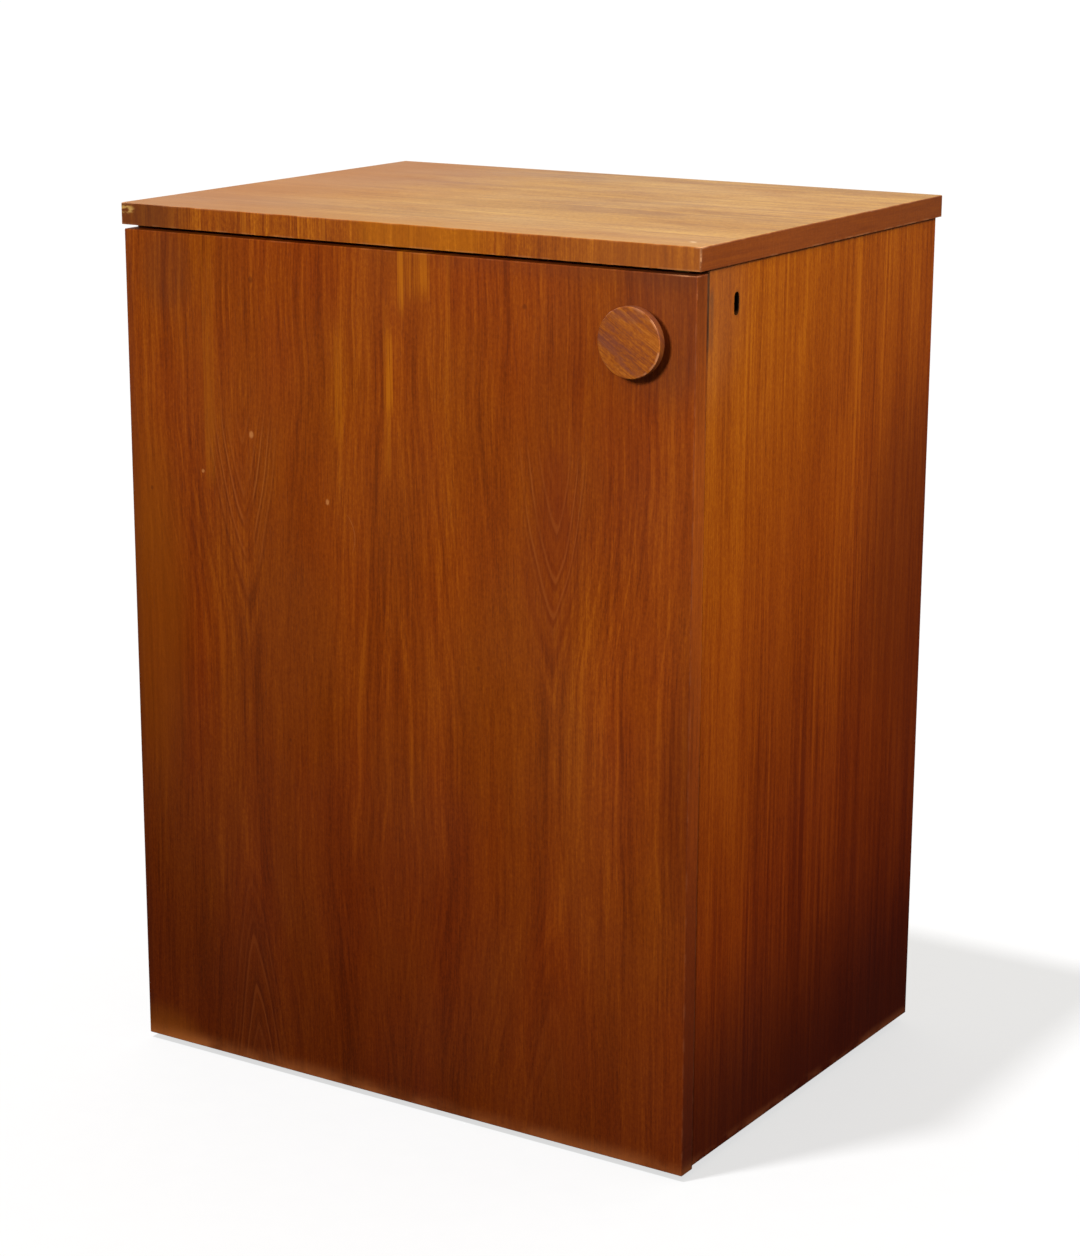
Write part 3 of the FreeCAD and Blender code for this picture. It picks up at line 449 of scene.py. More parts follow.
def side_teak():
    """Straight upright grain on the two sides."""
    paint = Paint("teak_side")
    y, z = paint.y, paint.z
    bend = (paint.noise(y * 4, z * 1.1, paint.x * 3) - 0.5) * 0.03
    colours = ((124, 54, 3), (143, 68, 4), (158, 81, 7), (174, 97, 12))
    colour, height = timber(paint, y + bend, y + paint.x, z, 21.0, colours, TEAK_DARK, veins=0.2, clear=0.095)
    # Painted shade in the joint, on the side's front edge
    joint_shade = y.step(SIDE_LOW.y + 2.4 * MM, SIDE_LOW.y + 0.4 * MM)
    joint_shade = joint_shade * (z.step(*JOINT_SHADE_ABOVE) * 0.8 + z.step(*JOINT_SHADE_BELOW) * 0.2 + 0.15)
    colour = rub(paint, colour, joint_shade, (44, 18, 8))
    outside = (paint.facing_x * paint.x).step(0.02, 0.2)
    on_right = paint.x.step(0.0, 0.1)
    # A dark grey patch on the side's front edge, beside the joint just below the top
    front_edge_patch = y.within(-0.2, -0.178, 7 * MM) * z.within(0.690, 0.718, 14 * MM) * 0.6
    front_edge_patch = front_edge_patch * outside * on_right
    colour = rub(paint, colour, front_edge_patch * paint.noise(y * 90, z * 14, 3.0).step(0.35, 0.6), (70, 48, 44))
    colour = unseen(paint, colour, 1.0 - outside)
    # Painted shade on the outer face: darker towards the floor and towards the back
    colour = paint.mix(colour, painted_falloff(paint, colour, z - y * 0.5, SIDE_PAINTED_SHADE), outside * 0.75 + 0.25)
    # Painted shadow of the top's overhang along the side's upper edge
    shade_under_top = z.step(SIDE_HIGH.z - 3.5 * MM, SIDE_HIGH.z - 1 * MM)
    colour = rub(paint, colour, shade_under_top * 0.6, (60, 26, 10))
    # Painted shade: the side darkens sharply towards the floor
    colour = rub(paint, colour, z.step(0.2, 0.02) * 0.6, (48, 9, 2))
    colour = patched(paint, colour, y, z, SIDE_PAINTED_SHADING)
    near_keyhole = paint.spot(y, z, KEYHOLE_Y, LOCK_MIDDLE.z, 16 * MM, 1.0)
    # Painted shade on the walls inside the keyhole's slot
    keyhole_shade = paint.x.within(SIDE_HIGH.x - 16.4 * MM, SIDE_HIGH.x - 0.35 * MM, 0.3 * MM) * near_keyhole
    rubbed_dark = paint.spot(y, z, KEYHOLE_Y + 0.6 * MM, LOCK_MIDDLE.z, 6.5 * MM, 2.1) * on_right
    colour = rub(paint, colour, rubbed_dark * 0.6, (66, 32, 14))
    colour = rub(paint, colour, keyhole_shade, (10, 5, 3))
    # Painted reflection of the pale floor along the side's foot, broken up by noise
    floor_bounce = z.step(0.019, 0.009) * paint.noise(y * 26, z * 60, 1.5, detail=3).step(0.36, 0.6)
    colour = rub(paint, colour, floor_bounce * 0.4, (150, 84, 48))
    rough = paint.noise(y * 9, paint.x * 9, z * 6, detail=3).fit(0.3, 0.7, 0.40, 0.54)
    return paint.finish(colour, rough, height, TEAK_RELIEF, specular=0.11)


def top_strip(paint):
    """The cross-grained strip on the top's front edge, its left corner bared to pale wood."""
    x, z = paint.x, paint.z
    colours = ((118, 50, 6), (142, 66, 8), (166, 86, 10), (196, 114, 20))
    strip, _ = timber(paint, x, x, z, 41.0, colours, (96, 42, 10), veins=0.4, clear=0.11)
    strip = rub(paint, strip, x.within(-0.02, 0.07, 0.03) * 0.4, (190, 112, 12))
    strip = rub(paint, strip, x.step(0.08, 0.24) * 0.5, (158, 92, 40))
    strip = rub(paint, strip, x.step(-0.19, -0.25) * 0.65, (100, 54, 28))
    bared = paint.spot(x, z, -0.277, 0.7565, 11 * MM, 0.45)
    return rub(paint, strip, bared * paint.noise(x * 120, z * 420, 2.0).step(0.4, 0.6), (208, 164, 92))


STAIN_SHADES = ((232, 218, 190), (250, 246, 236), (255, 255, 255))


def top_teak():
    """Grain from left to right, with a cross-grained strip on the front edge."""
    paint = Paint("teak_top")
    x, y = paint.x, paint.y
    bow = (paint.noise(x * 2.2, y * 5, 1.0) - 0.5) * 0.05
    colours = ((141, 94, 32), (156, 109, 40), (170, 122, 50), (184, 138, 62))
    colour, height = timber(paint, y + bow, y, x, 33.0, colours, (112, 52, 14), veins=0.25, pores=0.45,
                            clear=0.06)
    stained = paint.noise(x * 9, y * 20, 7.0, detail=5, roughness=0.6).fit(0.36, 0.62)
    colour = paint.mix(colour, paint.ramp(stained, STAIN_SHADES), 1.0, "MULTIPLY")
    colour = rub(paint, colour, y.step(-0.12, -0.2) * 0.5, (168, 108, 24))
    colour = rub(paint, colour, x.step(0.0, -0.26) * 0.72, (146, 82, 6))
    colour = paint.mix(colour, top_strip(paint), paint.facing_y.step(-0.5, -0.8))
    end_colours = ((114, 50, 3), (127, 59, 4), (140, 70, 6))
    end, _ = timber(paint, paint.z * 1.5, paint.z, y, 47.0, end_colours, TEAK_DARK, veins=0.1)
    colour = paint.mix(colour, end, abs(paint.facing_x).step(0.5, 0.8))
    pale_arris = ragged_arrises(paint, TOP_LOW, TOP_HIGH, 1.8 * MM)
    pale_arris = pale_arris * (abs(x).step(0.276, 0.281) * y.step(-0.18, -0.195) * 0.45 + 0.15)
    colour = rub(paint, colour, pale_arris * 0.75, (222, 168, 120))
    # Painted shade that tones down the light on the rounded upright edges, broken up by noise
    arris_shade = outer_edge(paint) * paint.noise(paint.z * 300, x * 20, 4.0).step(0.62, 0.5)
    colour = rub(paint, colour, arris_shade * 0.65, (88, 42, 12))
    chip = paint.spot(x, y, 0.262, -0.176, 4 * MM, 0.6)
    colour = rub(paint, colour, chip * 0.8, (246, 214, 168))
    cloud = paint.noise(x * 5, y * 9, 6.0, detail=4)
    return paint.finish(colour, cloud.fit(0.3, 0.7, 0.36, 0.5), height, WOOD_RELIEF, specular=0.28)


KNOB_GRAIN_SLOPE = math.radians(-33)


def knob_teak():
    """Solid teak, its grain falling from the upper left to the lower right of the knob's face."""
    paint = Paint("teak_knob")
    x, z = paint.x - KNOB_MIDDLE.x, paint.z - KNOB_MIDDLE.z
    along = x * math.cos(KNOB_GRAIN_SLOPE) + z * math.sin(KNOB_GRAIN_SLOPE)
    across = z * math.cos(KNOB_GRAIN_SLOPE) - x * math.sin(KNOB_GRAIN_SLOPE)
    ring = across * 0.7 + (paint.noise(across * 30, along * 14, 2.0) - 0.5) * 0.014 + paint.y * 0.5
    colours = ((120, 58, 34), (142, 71, 25), (162, 86, 20), (180, 104, 32))
    colour, height = timber(paint, ring, across + paint.y, along, 55.0, colours, (84, 42, 26), veins=0.2,
                            clear=0.075)
    violet = paint.noise(across * 110, along * 30, 6.2, detail=3).step(0.5, 0.64)
    colour = rub(paint, colour, violet * 0.5, (118, 64, 54))
    from_axis = (x * x + z * z).calc("SQRT")
    rim = from_axis.within(KNOB_RADIUS - 1.4 * MM, KNOB_RADIUS - 0.2 * MM, 0.7 * MM)
    rim = rim * paint.facing_y.step(-0.2, -0.6)
    # Painted highlight on the right of the knob's rim, broken up by noise
    rim_highlight_breakup = paint.noise(x * 90, paint.y * 40, z * 90, detail=2).step(0.4, 0.6)
    colour = rub(paint, colour, rim * rim_highlight_breakup * x.step(-0.005, 0.02) * 0.45, (224, 158, 112))
    # Painted shade on the knob's side wall and cove
    knob_side_shade = abs(paint.facing_y).step(0.75, 0.45)
    colour = rub(paint, colour, knob_side_shade * 0.7, (92, 44, 24))
    rough = paint.noise(x * 60, paint.y * 60, z * 60).fit(0.3, 0.7, 0.42, 0.54)
    return paint.finish(colour, rough, height, WOOD_RELIEF, specular=0.22)


def shelf_teak():
    """Plain teak, its grain from left to right."""
    paint = Paint("teak_shelf")
    bow = (paint.noise(paint.x * 2, paint.y * 6, 9.0) - 0.5) * 0.04
    across = paint.y + paint.z
    colours = ((130, 62, 20), (148, 76, 25), (162, 90, 32), (176, 106, 44))
    colour, height = timber(paint, across + bow, across, paint.x, 61.0, colours, TEAK_DARK)
    return paint.finish(colour, height.fit(-1, 0.5, 0.55, 0.42), height, WOOD_RELIEF, specular=0.4)


PALE_WOOD = ((176, 128, 78), (192, 146, 94), (205, 161, 108), (216, 176, 124))


def inner_wood(axis):
    """Pale solid wood of the inside, its grain along the given axis."""
    paint = Paint("inner_wood_" + axis)
    places = {"x": paint.x, "y": paint.y, "z": paint.z}
    along = places.pop(axis)
    first, second = places.values()
    bend = (paint.noise(first * 9, second * 9, along * 2.5) - 0.5) * 0.02
    ring = first * 0.8 + second * 0.6 + bend
    colour, height = timber(paint, ring, first + second, along, 71.0, PALE_WOOD, (132, 88, 50), veins=0.2,
                            pores=0.45)
    end = {"x": paint.facing_x, "y": paint.facing_y, "z": paint.facing_z}[axis]
    colour = rub(paint, colour, abs(end).step(0.6, 0.9) * 0.4, (150, 104, 62))
    used = paint.noise(paint.x * 7, paint.y * 7, paint.z * 7, detail=4).step(0.5, 0.72)
    colour = rub(paint, colour, used * 0.2, (140, 92, 52))
    return paint.finish(colour, used.fit(0, 1, 0.5, 0.66), height, WOOD_RELIEF, specular=0.35)


def back_board():
    """Thin plain board with upright grain, stained in places."""
    paint = Paint("back_board")
    bend = (paint.noise(paint.x * 3, paint.z * 1.2, 5.0) - 0.5) * 0.16
    colours = ((136, 96, 60), (154, 112, 72), (168, 126, 84), (182, 142, 98))
    colour, height = timber(paint, paint.x * 0.6 + bend, paint.x, paint.z, 83.0, colours, (104, 70, 42),
                            pores=0.6)
    stain = paint.noise(paint.x * 4, paint.z * 4, 3.0, detail=5).step(0.5, 0.75)
    colour = rub(paint, colour, stain * 0.3, (110, 72, 44))
    return paint.finish(colour, stain.fit(0, 1, 0.68, 0.85), height, 2 * WOOD_RELIEF, specular=0.25)


# ---------------------------------------------------------------- metal and plastic
def metal(name, bright, dull, rough, grain):
    """Sheet metal with drawn streaks along z, spots of tarnish and scuffs."""
    paint = Paint(name)
    x, y, z = paint.x, paint.y, paint.z
    streaks = paint.noise((x + y) * 2600, z * grain, 1.0, detail=3)
    tarnish = paint.noise(x * 130, y * 130, z * 90, detail=4).step(0.46, 0.68)
    specks = paint.noise(x * 900, y * 900, z * 900).step(0.66, 0.74)
    colour = paint.mix(screen(*bright), screen(*dull), tarnish * 0.6 + specks * 0.3)
    roughness = streaks.fit(0.3, 0.7, rough - 0.08, rough + 0.08) + tarnish * 0.18
    return paint.finish(colour, roughness, streaks - specks, 0.02 * MM, metallic=1.0)


def moulded(name, colours, rough, grain):
    """Plastic or painted iron: a fine pebbled skin with rubbed places."""
    paint = Paint(name)
    x, y, z = paint.x, paint.y, paint.z
    skin = paint.noise(x * grain, y * grain, z * grain)
    rubbed = paint.noise(x * 70, y * 70, z * 70, detail=4).step(0.45, 0.7)
    colour = paint.ramp(rubbed * 0.7 + skin * 0.3, colours)
    return paint.finish(colour, rubbed.fit(0, 1, rough, rough - 0.18), skin, 0.04 * MM, specular=0.4)


TEAK_DOOR, TEAK_SIDE, TEAK_TOP, TEAK_KNOB = door_teak(), side_teak(), top_teak(), knob_teak()
TEAK_SHELF, BACK_BOARD = shelf_teak(), back_board()
WOOD_ALONG = {axis: inner_wood(axis) for axis in "xyz"}
BRASS = metal("brass", (214, 176, 106), (128, 92, 50), 0.34, 60)
STEEL = metal("steel", (186, 186, 182), (112, 108, 102), 0.36, 60)
DARK_STEEL = metal("browned_steel", (84, 76, 68), (40, 33, 28), 0.5, 60)
SCREW_BRASS = metal("screw_brass", (204, 164, 96), (104, 76, 42), 0.32, 900)
SCREW_STEEL = metal("screw_steel", (172, 172, 168), (92, 86, 80), 0.34, 900)
# A dark disc of painted shade in each screw's slot and round its head
SCREW_SHADE = moulded("screw_shade", ((16, 11, 8), (30, 21, 14)), 0.8, 900)
MAGNET = moulded("magnet", ((34, 33, 32), (58, 56, 54), (88, 86, 84)), 0.6, 1500)
CATCH_PLASTIC = moulded("catch_plastic", ((58, 36, 24), (74, 48, 32), (96, 66, 46)), 0.55, 1100)
GLIDE_PLASTIC = moulded("glide_plastic", ((50, 34, 26), (70, 50, 38), (104, 82, 66)), 0.5, 1000)

FINISHES = {
    TEAK_DOOR: ["door_panel"],
    TEAK_SIDE: ["left_side_panel", "right_side_panel"],
    TEAK_TOP: ["top_panel"],
    TEAK_KNOB: ["knob"],
    TEAK_SHELF: ["shelf"],
    BACK_BOARD: ["back_panel"],
    WOOD_ALONG["x"]: ["bottom_panel", "crate_front", "crate_back", "crate_long_slat_1", "crate_long_slat_2",
                      "door_rack_lower_shelf", "door_rack_lower_strip", "door_rack_lower_rail",
                      "door_rack_upper_shelf", "door_rack_upper_strip", "door_rack_upper_rail"],
    WOOD_ALONG["y"]: ["crate_left_end", "crate_right_end", "shelf_bearer_left", "shelf_bearer_right",
                      "top_tongue_left", "top_tongue_right"]
                     + ["crate_cross_slat_%d" % number for number in range(1, 5)],
    WOOD_ALONG["z"]: ["door_rack_left_cheek", "door_rack_right_cheek"],
    BRASS: ["lower_hinge_carcass_leaf", "lower_hinge_door_leaf", "lower_hinge_pin",
            "upper_hinge_carcass_leaf", "upper_hinge_door_leaf", "upper_hinge_pin",
            "lock_plate", "lock_bolt", "link_plate"],
    DARK_STEEL: ["lock_case"],
    STEEL: ["lock_guide_stud", "knob_screw", "catch_plate"],
    MAGNET: ["catch_magnet"],
    CATCH_PLASTIC: ["catch_body"],
    GLIDE_PLASTIC: ["glides"],
}


def dress():
    """Gives each CAD piece its material."""
    for material, names in FINISHES.items():
        for name in names:
            slots = NODES[name].data.materials
            for index in range(len(slots)):
                slots[index] = material
    bare = set(NODES) - {name for names in FINISHES.values() for name in names}
    if bare:
        raise RuntimeError("no finish for " + ", ".join(sorted(bare)))


# ---------------------------------------------------------------- pieces
SAME_PLACE = 1e-7
SHARP_FROM = math.radians(35)


def piece(name, mesh, material, body):
    """A visible piece that rides on a body."""
    mesh.materials.append(material)
    made = bpy.data.objects.new(name, mesh)
    bpy.context.scene.collection.objects.link(made)
    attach(made, body)
    return made


def mesh_from(shape, name):
    """A bmesh as a mesh; the bmesh is freed."""
    mesh = bpy.data.meshes.new(name)
    shape.to_mesh(mesh)
    shape.free()
    return mesh


def circle(shape, radius, height, segments):
    """A ring of vertices about local z."""
    angles = [2 * math.pi * step / segments for step in range(segments)]
    return [shape.verts.new((radius * math.cos(a), radius * math.sin(a), height)) for a in angles]


def lathe(name, profile, segments):
    """A closed turned solid. profile is (radius, height) from axis to axis; it turns about local z."""
    shape = bmesh.new()
    rings = []
    for radius, height in profile:
        if radius < SAME_PLACE:
            rings.append([shape.verts.new((0, 0, height))])
        else:
            rings.append(circle(shape, radius, height, segments))
    for lower, upper in zip(rings, rings[1:]):
        for step in range(segments):
            after = (step + 1) % segments
            corners = [lower[step % len(lower)], lower[after % len(lower)],
                       upper[after % len(upper)], upper[step % len(upper)]]
            corners = list(dict.fromkeys(corners))
            if len(corners) > 2:
                shape.faces.new(corners)
    bmesh.ops.recalc_face_normals(shape, faces=shape.faces)
    return mesh_from(shape, name)


def rounded(points, reaches, steps):
    """The open line through points with some corners rounded; reaches says how far back from each."""
    line = [points[0]]
    for index in range(1, len(points) - 1):
        before, corner, after = (Vector(p) for p in points[index - 1:index + 2])
        if index not in reaches:
            line.append(tuple(corner))
            continue
        start = corner + (before - corner).normalized() * reaches[index]
        end = corner + (after - corner).normalized() * reaches[index]
        for step in range(steps + 1):
            t = step / steps
            line.append(tuple(start.lerp(corner, t).lerp(corner.lerp(end, t), t)))
    return line + [points[-1]]


def smooth(made):
    """Smooth shading, broken at edges sharper than SHARP_FROM."""
    made.data.shade_smooth()
    made.data.set_sharp_from_angle(angle=SHARP_FROM)


# The knob's profile, from its foot on the door outwards
KNOB_NECK_RADIUS, KNOB_NECK_LENGTH = 11.0 * MM, 4 * MM
KNOB_COVE_RADIUS, KNOB_COVE_HEIGHT = 16 * MM, 10.5 * MM
KNOB_RIM = 7.4 * MM
KNOB_DISH = 0.35 * MM
KNOB_EASED = {2: 3 * MM, 3: 3 * MM, 4: 1.2 * MM, 5: 1.1 * MM}     # by the corner's place in the profile
KNOB_SEGMENTS, KNOB_CORNER_STEPS = 96, 6


def turned_knob():
    """The knob turned smooth: a faintly dished face, an eased rim and a cove behind."""
    profile = [(0, 0), (KNOB_NECK_RADIUS, 0), (KNOB_NECK_RADIUS, KNOB_NECK_LENGTH),
               (KNOB_COVE_RADIUS, KNOB_COVE_HEIGHT), (KNOB_RADIUS, KNOB_HEIGHT - KNOB_RIM),
               (KNOB_RADIUS, KNOB_HEIGHT), (0, KNOB_HEIGHT - KNOB_DISH)]
    mesh = lathe("turned_knob", rounded(profile, KNOB_EASED, KNOB_CORNER_STEPS), KNOB_SEGMENTS)
    face_forward = Matrix.Rotation(math.radians(90), 4, "X")
    foot = Vector((KNOB_MIDDLE.x, KNOB_HIGH.y, KNOB_MIDDLE.z))
    mesh.transform(Matrix.Translation(foot) @ face_forward)
    made = piece("turned_knob", mesh, TEAK_KNOB, "door")
    smooth(made)
    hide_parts("knob")


# A screw's head. The slot's half width, the crown and the disc are shares of the radius, as the head's depth
# is. The slot's depth is a share of the head's, the tip is a share of the rim, and the slot's sides lean by a
# share of its half width.
SLOT_HALF, CROWN, DISC = 0.13, 0.8, 1.1
SLOT_DEPTH, TIP, SLOT_LEAN = 0.45, 0.45, 0.2
HEAD_DEPTH = 0.5
CROWN_HEIGHT, DISC_HEIGHT = 0.09 * MM, 0.03 * MM
RIM_STEPS, DISC_STEPS = 10, 20


def screw_mesh(name, radius, turn):
    """A countersunk slotted head with its rim at local z = 0. A dark disc of painted shade, the second
    material, lies under its crown, so that the slot and the line around the head show dark."""
    depth = radius * HEAD_DEPTH
    slot_half, slot_depth = radius * SLOT_HALF, depth * SLOT_DEPTH
    shape = bmesh.new()
    edge = math.asin(slot_half / radius)
    for side in (0, math.pi):
        arc = [edge + (math.pi - 2 * edge) * step / RIM_STEPS + side for step in range(RIM_STEPS + 1)]
        rim = [shape.verts.new((radius * math.cos(a), radius * math.sin(a), 0)) for a in arc]
        crown = [shape.verts.new((CROWN * v.co.x,
                                  CROWN * v.co.y + math.copysign(slot_half * SLOT_LEAN, v.co.y),
                                  CROWN_HEIGHT)) for v in rim]
        for a, b, c, d in zip(rim, rim[1:], crown[1:], crown):
            shape.faces.new((a, b, c, d))
        shape.faces.new(crown)
        low = [shape.verts.new((v.co.x, v.co.y, -slot_depth)) for v in (rim[0], rim[-1])]
        shape.faces.new((rim[0], crown[0], crown[-1], rim[-1], low[1], low[0]))
        under = [shape.verts.new((v.co.x * TIP, v.co.y * TIP, -depth)) for v in rim]
        for a, b, c, d in zip(rim, rim[1:], under[1:], under):
            shape.faces.new((a, b, c, d))
    corners = [(radius, -slot_half), (radius, slot_half), (-radius, slot_half), (-radius, -slot_half)]
    shape.faces.new([shape.verts.new((x, y, -slot_depth)) for x, y in corners])
    bmesh.ops.remove_doubles(shape, verts=shape.verts, dist=SAME_PLACE)
    bmesh.ops.recalc_face_normals(shape, faces=shape.faces)
    disc = shape.faces.new(circle(shape, DISC * radius, DISC_HEIGHT, DISC_STEPS))
    disc.material_index = 1
    mesh = mesh_from(shape, name)
    mesh.transform(Matrix.Rotation(turn, 4, "Z"))
    return mesh


FACINGS = {"-x": (-1, 0, 0), "+y": (0, 1, 0), "-y": (0, -1, 0), "-z": (0, 0, -1)}


def screws(name, places, facing, radius, material, body):
    """Slotted screws in a face, their crowns just proud of it, one piece for the set. Places are in
    millimetres. Each screw is turned at random."""
    outward = Vector(FACINGS[facing])
    upright = outward.to_track_quat("Z", "X").to_matrix().to_4x4()
    shape = bmesh.new()
    for place in places:
        one = screw_mesh("one_screw", radius, random.uniform(0, math.pi))
        one.transform(Matrix.Translation(Vector(place) * MM) @ upright)
        shape.from_mesh(one)
        bpy.data.meshes.remove(one)
    mesh = mesh_from(shape, name)
    made = piece(name, mesh, material, body)
    mesh.materials.append(SCREW_SHADE)
    smooth(made)


def fasteners():
    """The screws of the hinges, lock, catch, door rack and back. Places are in millimetres."""
    outer, inner = -275.4, -269.2
    for where, low in (("lower", 81), ("upper", 600)):
        heights = (low + 10, low + 32, low + 54)
        screws(where + "_hinge_carcass_screws",
               [(x, -183.15, z) for x, z in zip((inner, outer, inner), heights)],
               "-y", 2.3 * MM, SCREW_BRASS, "carcass")
        screws(where + "_hinge_door_screws",
               [(x, -183.35, z) for x, z in zip((outer, inner, outer), heights)],
               "+y", 2.3 * MM, SCREW_BRASS, "door")
    screws("lock_plate_screws", [(261.5, y, z) for z in (685, 739) for y in (-168, -132)],
           "-x", 2.2 * MM, SCREW_BRASS, "carcass")
    screws("link_plate_screws", [(256.35, -183.55, z) for z in (691, 733)],
           "+y", 2.0 * MM, SCREW_BRASS, "door")
    screws("catch_body_screws", [(x, -174.25, 725.5) for x in (149.8, 186.2)],
           "-z", 2.0 * MM, SCREW_STEEL, "carcass")
    screws("catch_plate_screw", [(168, -182.63, 732.75)],
           "+y", 1.7 * MM, SCREW_STEEL, "door")
    screws("rack_screws", [(x, -175.55, z) for z in (62, 410) for x in (-180, -60, 60, 180)],
           "+y", 2.8 * MM, SCREW_BRASS, "door")
    edge_places = [(x, z) for x in (-265, 265) for z in (30, 200, 375, 550, 720)]
    row_places = [(x, z) for x in (-90, 90) for z in (16, 735)]
    screws("back_panel_screws", [(x, 216.05, z) for x, z in edge_places + row_places],
           "+y", 3.0 * MM, SCREW_STEEL, "carcass")


# ---------------------------------------------------------------- studio
OBJECT_ONLY = bpy.data.collections.new("object_only")
FLOOR_ONLY = bpy.data.collections.new("floor_only")
FLOOR_REACH = 30.0
FLOOR_GLOW = 0.68
SKY_HIGH, SKY_LOW = 0.9, 0.03       # strength of the surroundings' light above and below the horizon
SKY_BEHIND, SKY_IN_FRONT = 1.0, 0.35          # the share of it that comes from behind and from in front
SKY_COLOUR = (1.0, 0.95, 0.84, 1.0)
SEEN_STRENGTH = 1.1
WHITE = (1, 1, 1, 1)


def studio():
    """The pale floor. It lies in both collections: left out of the one for the object's lights, and alone in
    the one for its own."""
    mesh = bpy.data.meshes.new("floor")
    reach = FLOOR_REACH
    mesh.from_pydata([(-reach, -reach, 0), (reach, -reach, 0), (reach, reach, 0), (-reach, reach, 0)], [],
                     [(0, 1, 2, 3)])
    floor = bpy.data.objects.new("floor", mesh)
    bpy.context.scene.collection.objects.link(floor)
    paint = Paint("floor_paper")
    tooth = paint.noise(paint.x * 40, paint.y * 40, 1.0, detail=3)
    colour = paint.mix(screen(128, 128, 129), screen(132, 132, 133), tooth)
    mesh.materials.append(paint.finish(colour, tooth.fit(0, 1, 0.85, 0.95), specular=0.1))
    paint.shader.inputs["Emission Color"].default_value = WHITE
    paint.shader.inputs["Emission Strength"].default_value = FLOOR_GLOW
    floor.visible_diffuse = floor.visible_glossy = False
    OBJECT_ONLY.objects.link(floor)
    OBJECT_ONLY.collection_objects[0].light_linking.link_state = "EXCLUDE"
    FLOOR_ONLY.objects.link(floor)


def surroundings():
    """White to the camera. As light it is strong above and behind, and weak below the horizon and in
    front."""
    world = bpy.data.worlds.new("studio")
    bpy.context.scene.world = world
    world.use_nodes = True
    tree = world.node_tree
    tree.nodes.clear()
    place = tree.nodes.new("ShaderNodeTexCoord")
    parts = tree.nodes.new("ShaderNodeSeparateXYZ")
    tree.links.new(place.outputs["Generated"], parts.inputs[0])
    backward, upward = Wire(tree, parts.outputs[1]), Wire(tree, parts.outputs[2])
    level = upward.fit(-0.12, 0.2, SKY_LOW, SKY_HIGH) * backward.fit(-0.2, 0.6, SKY_IN_FRONT, SKY_BEHIND)
    lit = tree.nodes.new("ShaderNodeBackground")
    lit.inputs["Color"].default_value = SKY_COLOUR
    tree.links.new(level.socket, lit.inputs["Strength"])
    seen = tree.nodes.new("ShaderNodeBackground")
    seen.inputs["Color"].default_value = WHITE
    seen.inputs["Strength"].default_value = SEEN_STRENGTH
    ray = tree.nodes.new("ShaderNodeLightPath")
    either = tree.nodes.new("ShaderNodeMixShader")
    tree.links.new(ray.outputs["Is Camera Ray"], either.inputs[0])
    tree.links.new(lit.outputs[0], either.inputs[1])
    tree.links.new(seen.outputs[0], either.inputs[2])
    out = tree.nodes.new("ShaderNodeOutputWorld")
    tree.links.new(either.outputs[0], out.inputs[0])


def lamp(name, kind, place, target, power, colour, lit):
    """A light at place that points at target and reaches only what the collection lit says."""
    data = bpy.data.lights.new(name, kind)
    data.energy, data.color = power, colour
    made = bpy.data.objects.new(name, data)
    bpy.context.scene.collection.objects.link(made)
    made.location = place
    made.rotation_euler = (Vector(target) - Vector(place)).to_track_quat("-Z", "Y").to_euler()
    made.visible_camera = False
    made.light_linking.receiver_collection = lit
    return data


# Soft lights on the object alone, so that the floor keeps its one plain shadow: place, target, diameter and
# watts
SOFTBOXES = {
    "front": ((0.85, -3.4, 1.80), (0, -0.2, 0.4), 0.45, 97),
    "right": ((1.15, -0.24, 1.30), (0.28, 0, 0.5), 0.4, 10.4),
    "left": ((-1.15, 0.0, 1.30), (-0.28, 0, 0.5), 0.4, 9),
    "over": ((0, 0.3, 2.40), (0, 0.1, 0.7), 0.8, 14),
}
SOFTBOX_COLOUR = (1, 0.95, 0.88)
SUN_PLACE, SUN_STRENGTH, SUN_ANGLE = (-0.168, -0.263, 0.950), 3.4, math.radians(4)


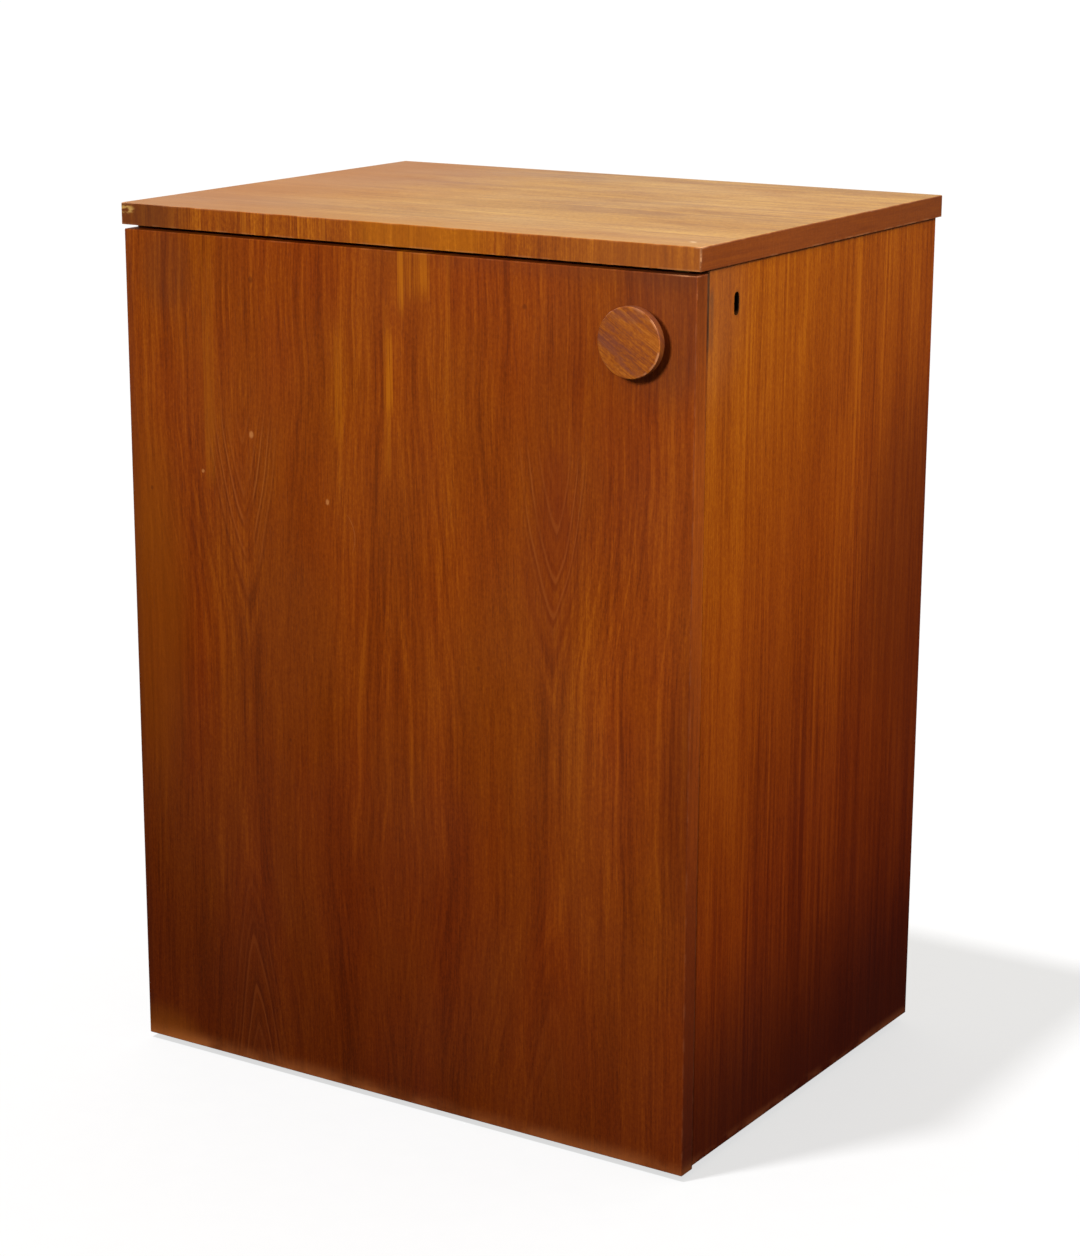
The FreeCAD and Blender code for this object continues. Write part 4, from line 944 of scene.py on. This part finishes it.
def lights():
    """A high light for the floor and its shadow, and a round softbox for each face of the object."""
    high = lamp("high", "SUN", SUN_PLACE, (0, 0, 0), SUN_STRENGTH, (1, 1, 1), FLOOR_ONLY)
    high.angle = SUN_ANGLE
    for name, (place, target, size, power) in SOFTBOXES.items():
        box = lamp(name, "AREA", place, target, power, SOFTBOX_COLOUR, OBJECT_ONLY)
        box.shape, box.size = "DISK", size


# ---------------------------------------------------------------- camera
CAMERA_PLACE = (1.36608, -2.13430, 1.04249)
CAMERA_AZIMUTH, CAMERA_PITCH, CAMERA_ROLL = 33.942, 14.947, -0.186
FOCAL_LENGTH, SENSOR = 84.520, 36.0
CAMERA_SHIFT = (0.06313, 0.01549)     # in parts of the picture's height; its middle isn't on the lens's axis
CLIP_NEAR, CLIP_FAR = 0.05, 200


def camera():
    """The camera, turned from the front by the azimuth, tilted down by the pitch, and rolled."""
    azimuth, pitch, roll = (math.radians(a) for a in (CAMERA_AZIMUTH, CAMERA_PITCH, CAMERA_ROLL))
    back = Vector((math.sin(azimuth) * math.cos(pitch), -math.cos(azimuth) * math.cos(pitch),
                   math.sin(pitch)))
    right = Vector((0, 0, 1)).cross(back).normalized()
    up = back.cross(right)
    tilted_right = right * math.cos(roll) + up * math.sin(roll)
    tilted_up = up * math.cos(roll) - right * math.sin(roll)
    data = bpy.data.cameras.new("camera")
    data.lens, data.sensor_width, data.sensor_fit = FOCAL_LENGTH, SENSOR, "AUTO"
    data.shift_x, data.shift_y = CAMERA_SHIFT
    data.clip_start, data.clip_end = CLIP_NEAR, CLIP_FAR
    made = bpy.data.objects.new("camera", data)
    bpy.context.scene.collection.objects.link(made)
    turn = Matrix((tilted_right, tilted_up, back)).transposed()
    made.matrix_world = Matrix.Translation(CAMERA_PLACE) @ turn.to_4x4()
    bpy.context.scene.camera = made


# ---------------------------------------------------------------- everything together
random.seed(SEED)
dress()
turned_knob()
fasteners()
studio()
surroundings()
lights()
camera()
bpy.context.scene.view_settings.view_transform = "Standard"
bpy.context.scene.view_settings.look = "None"
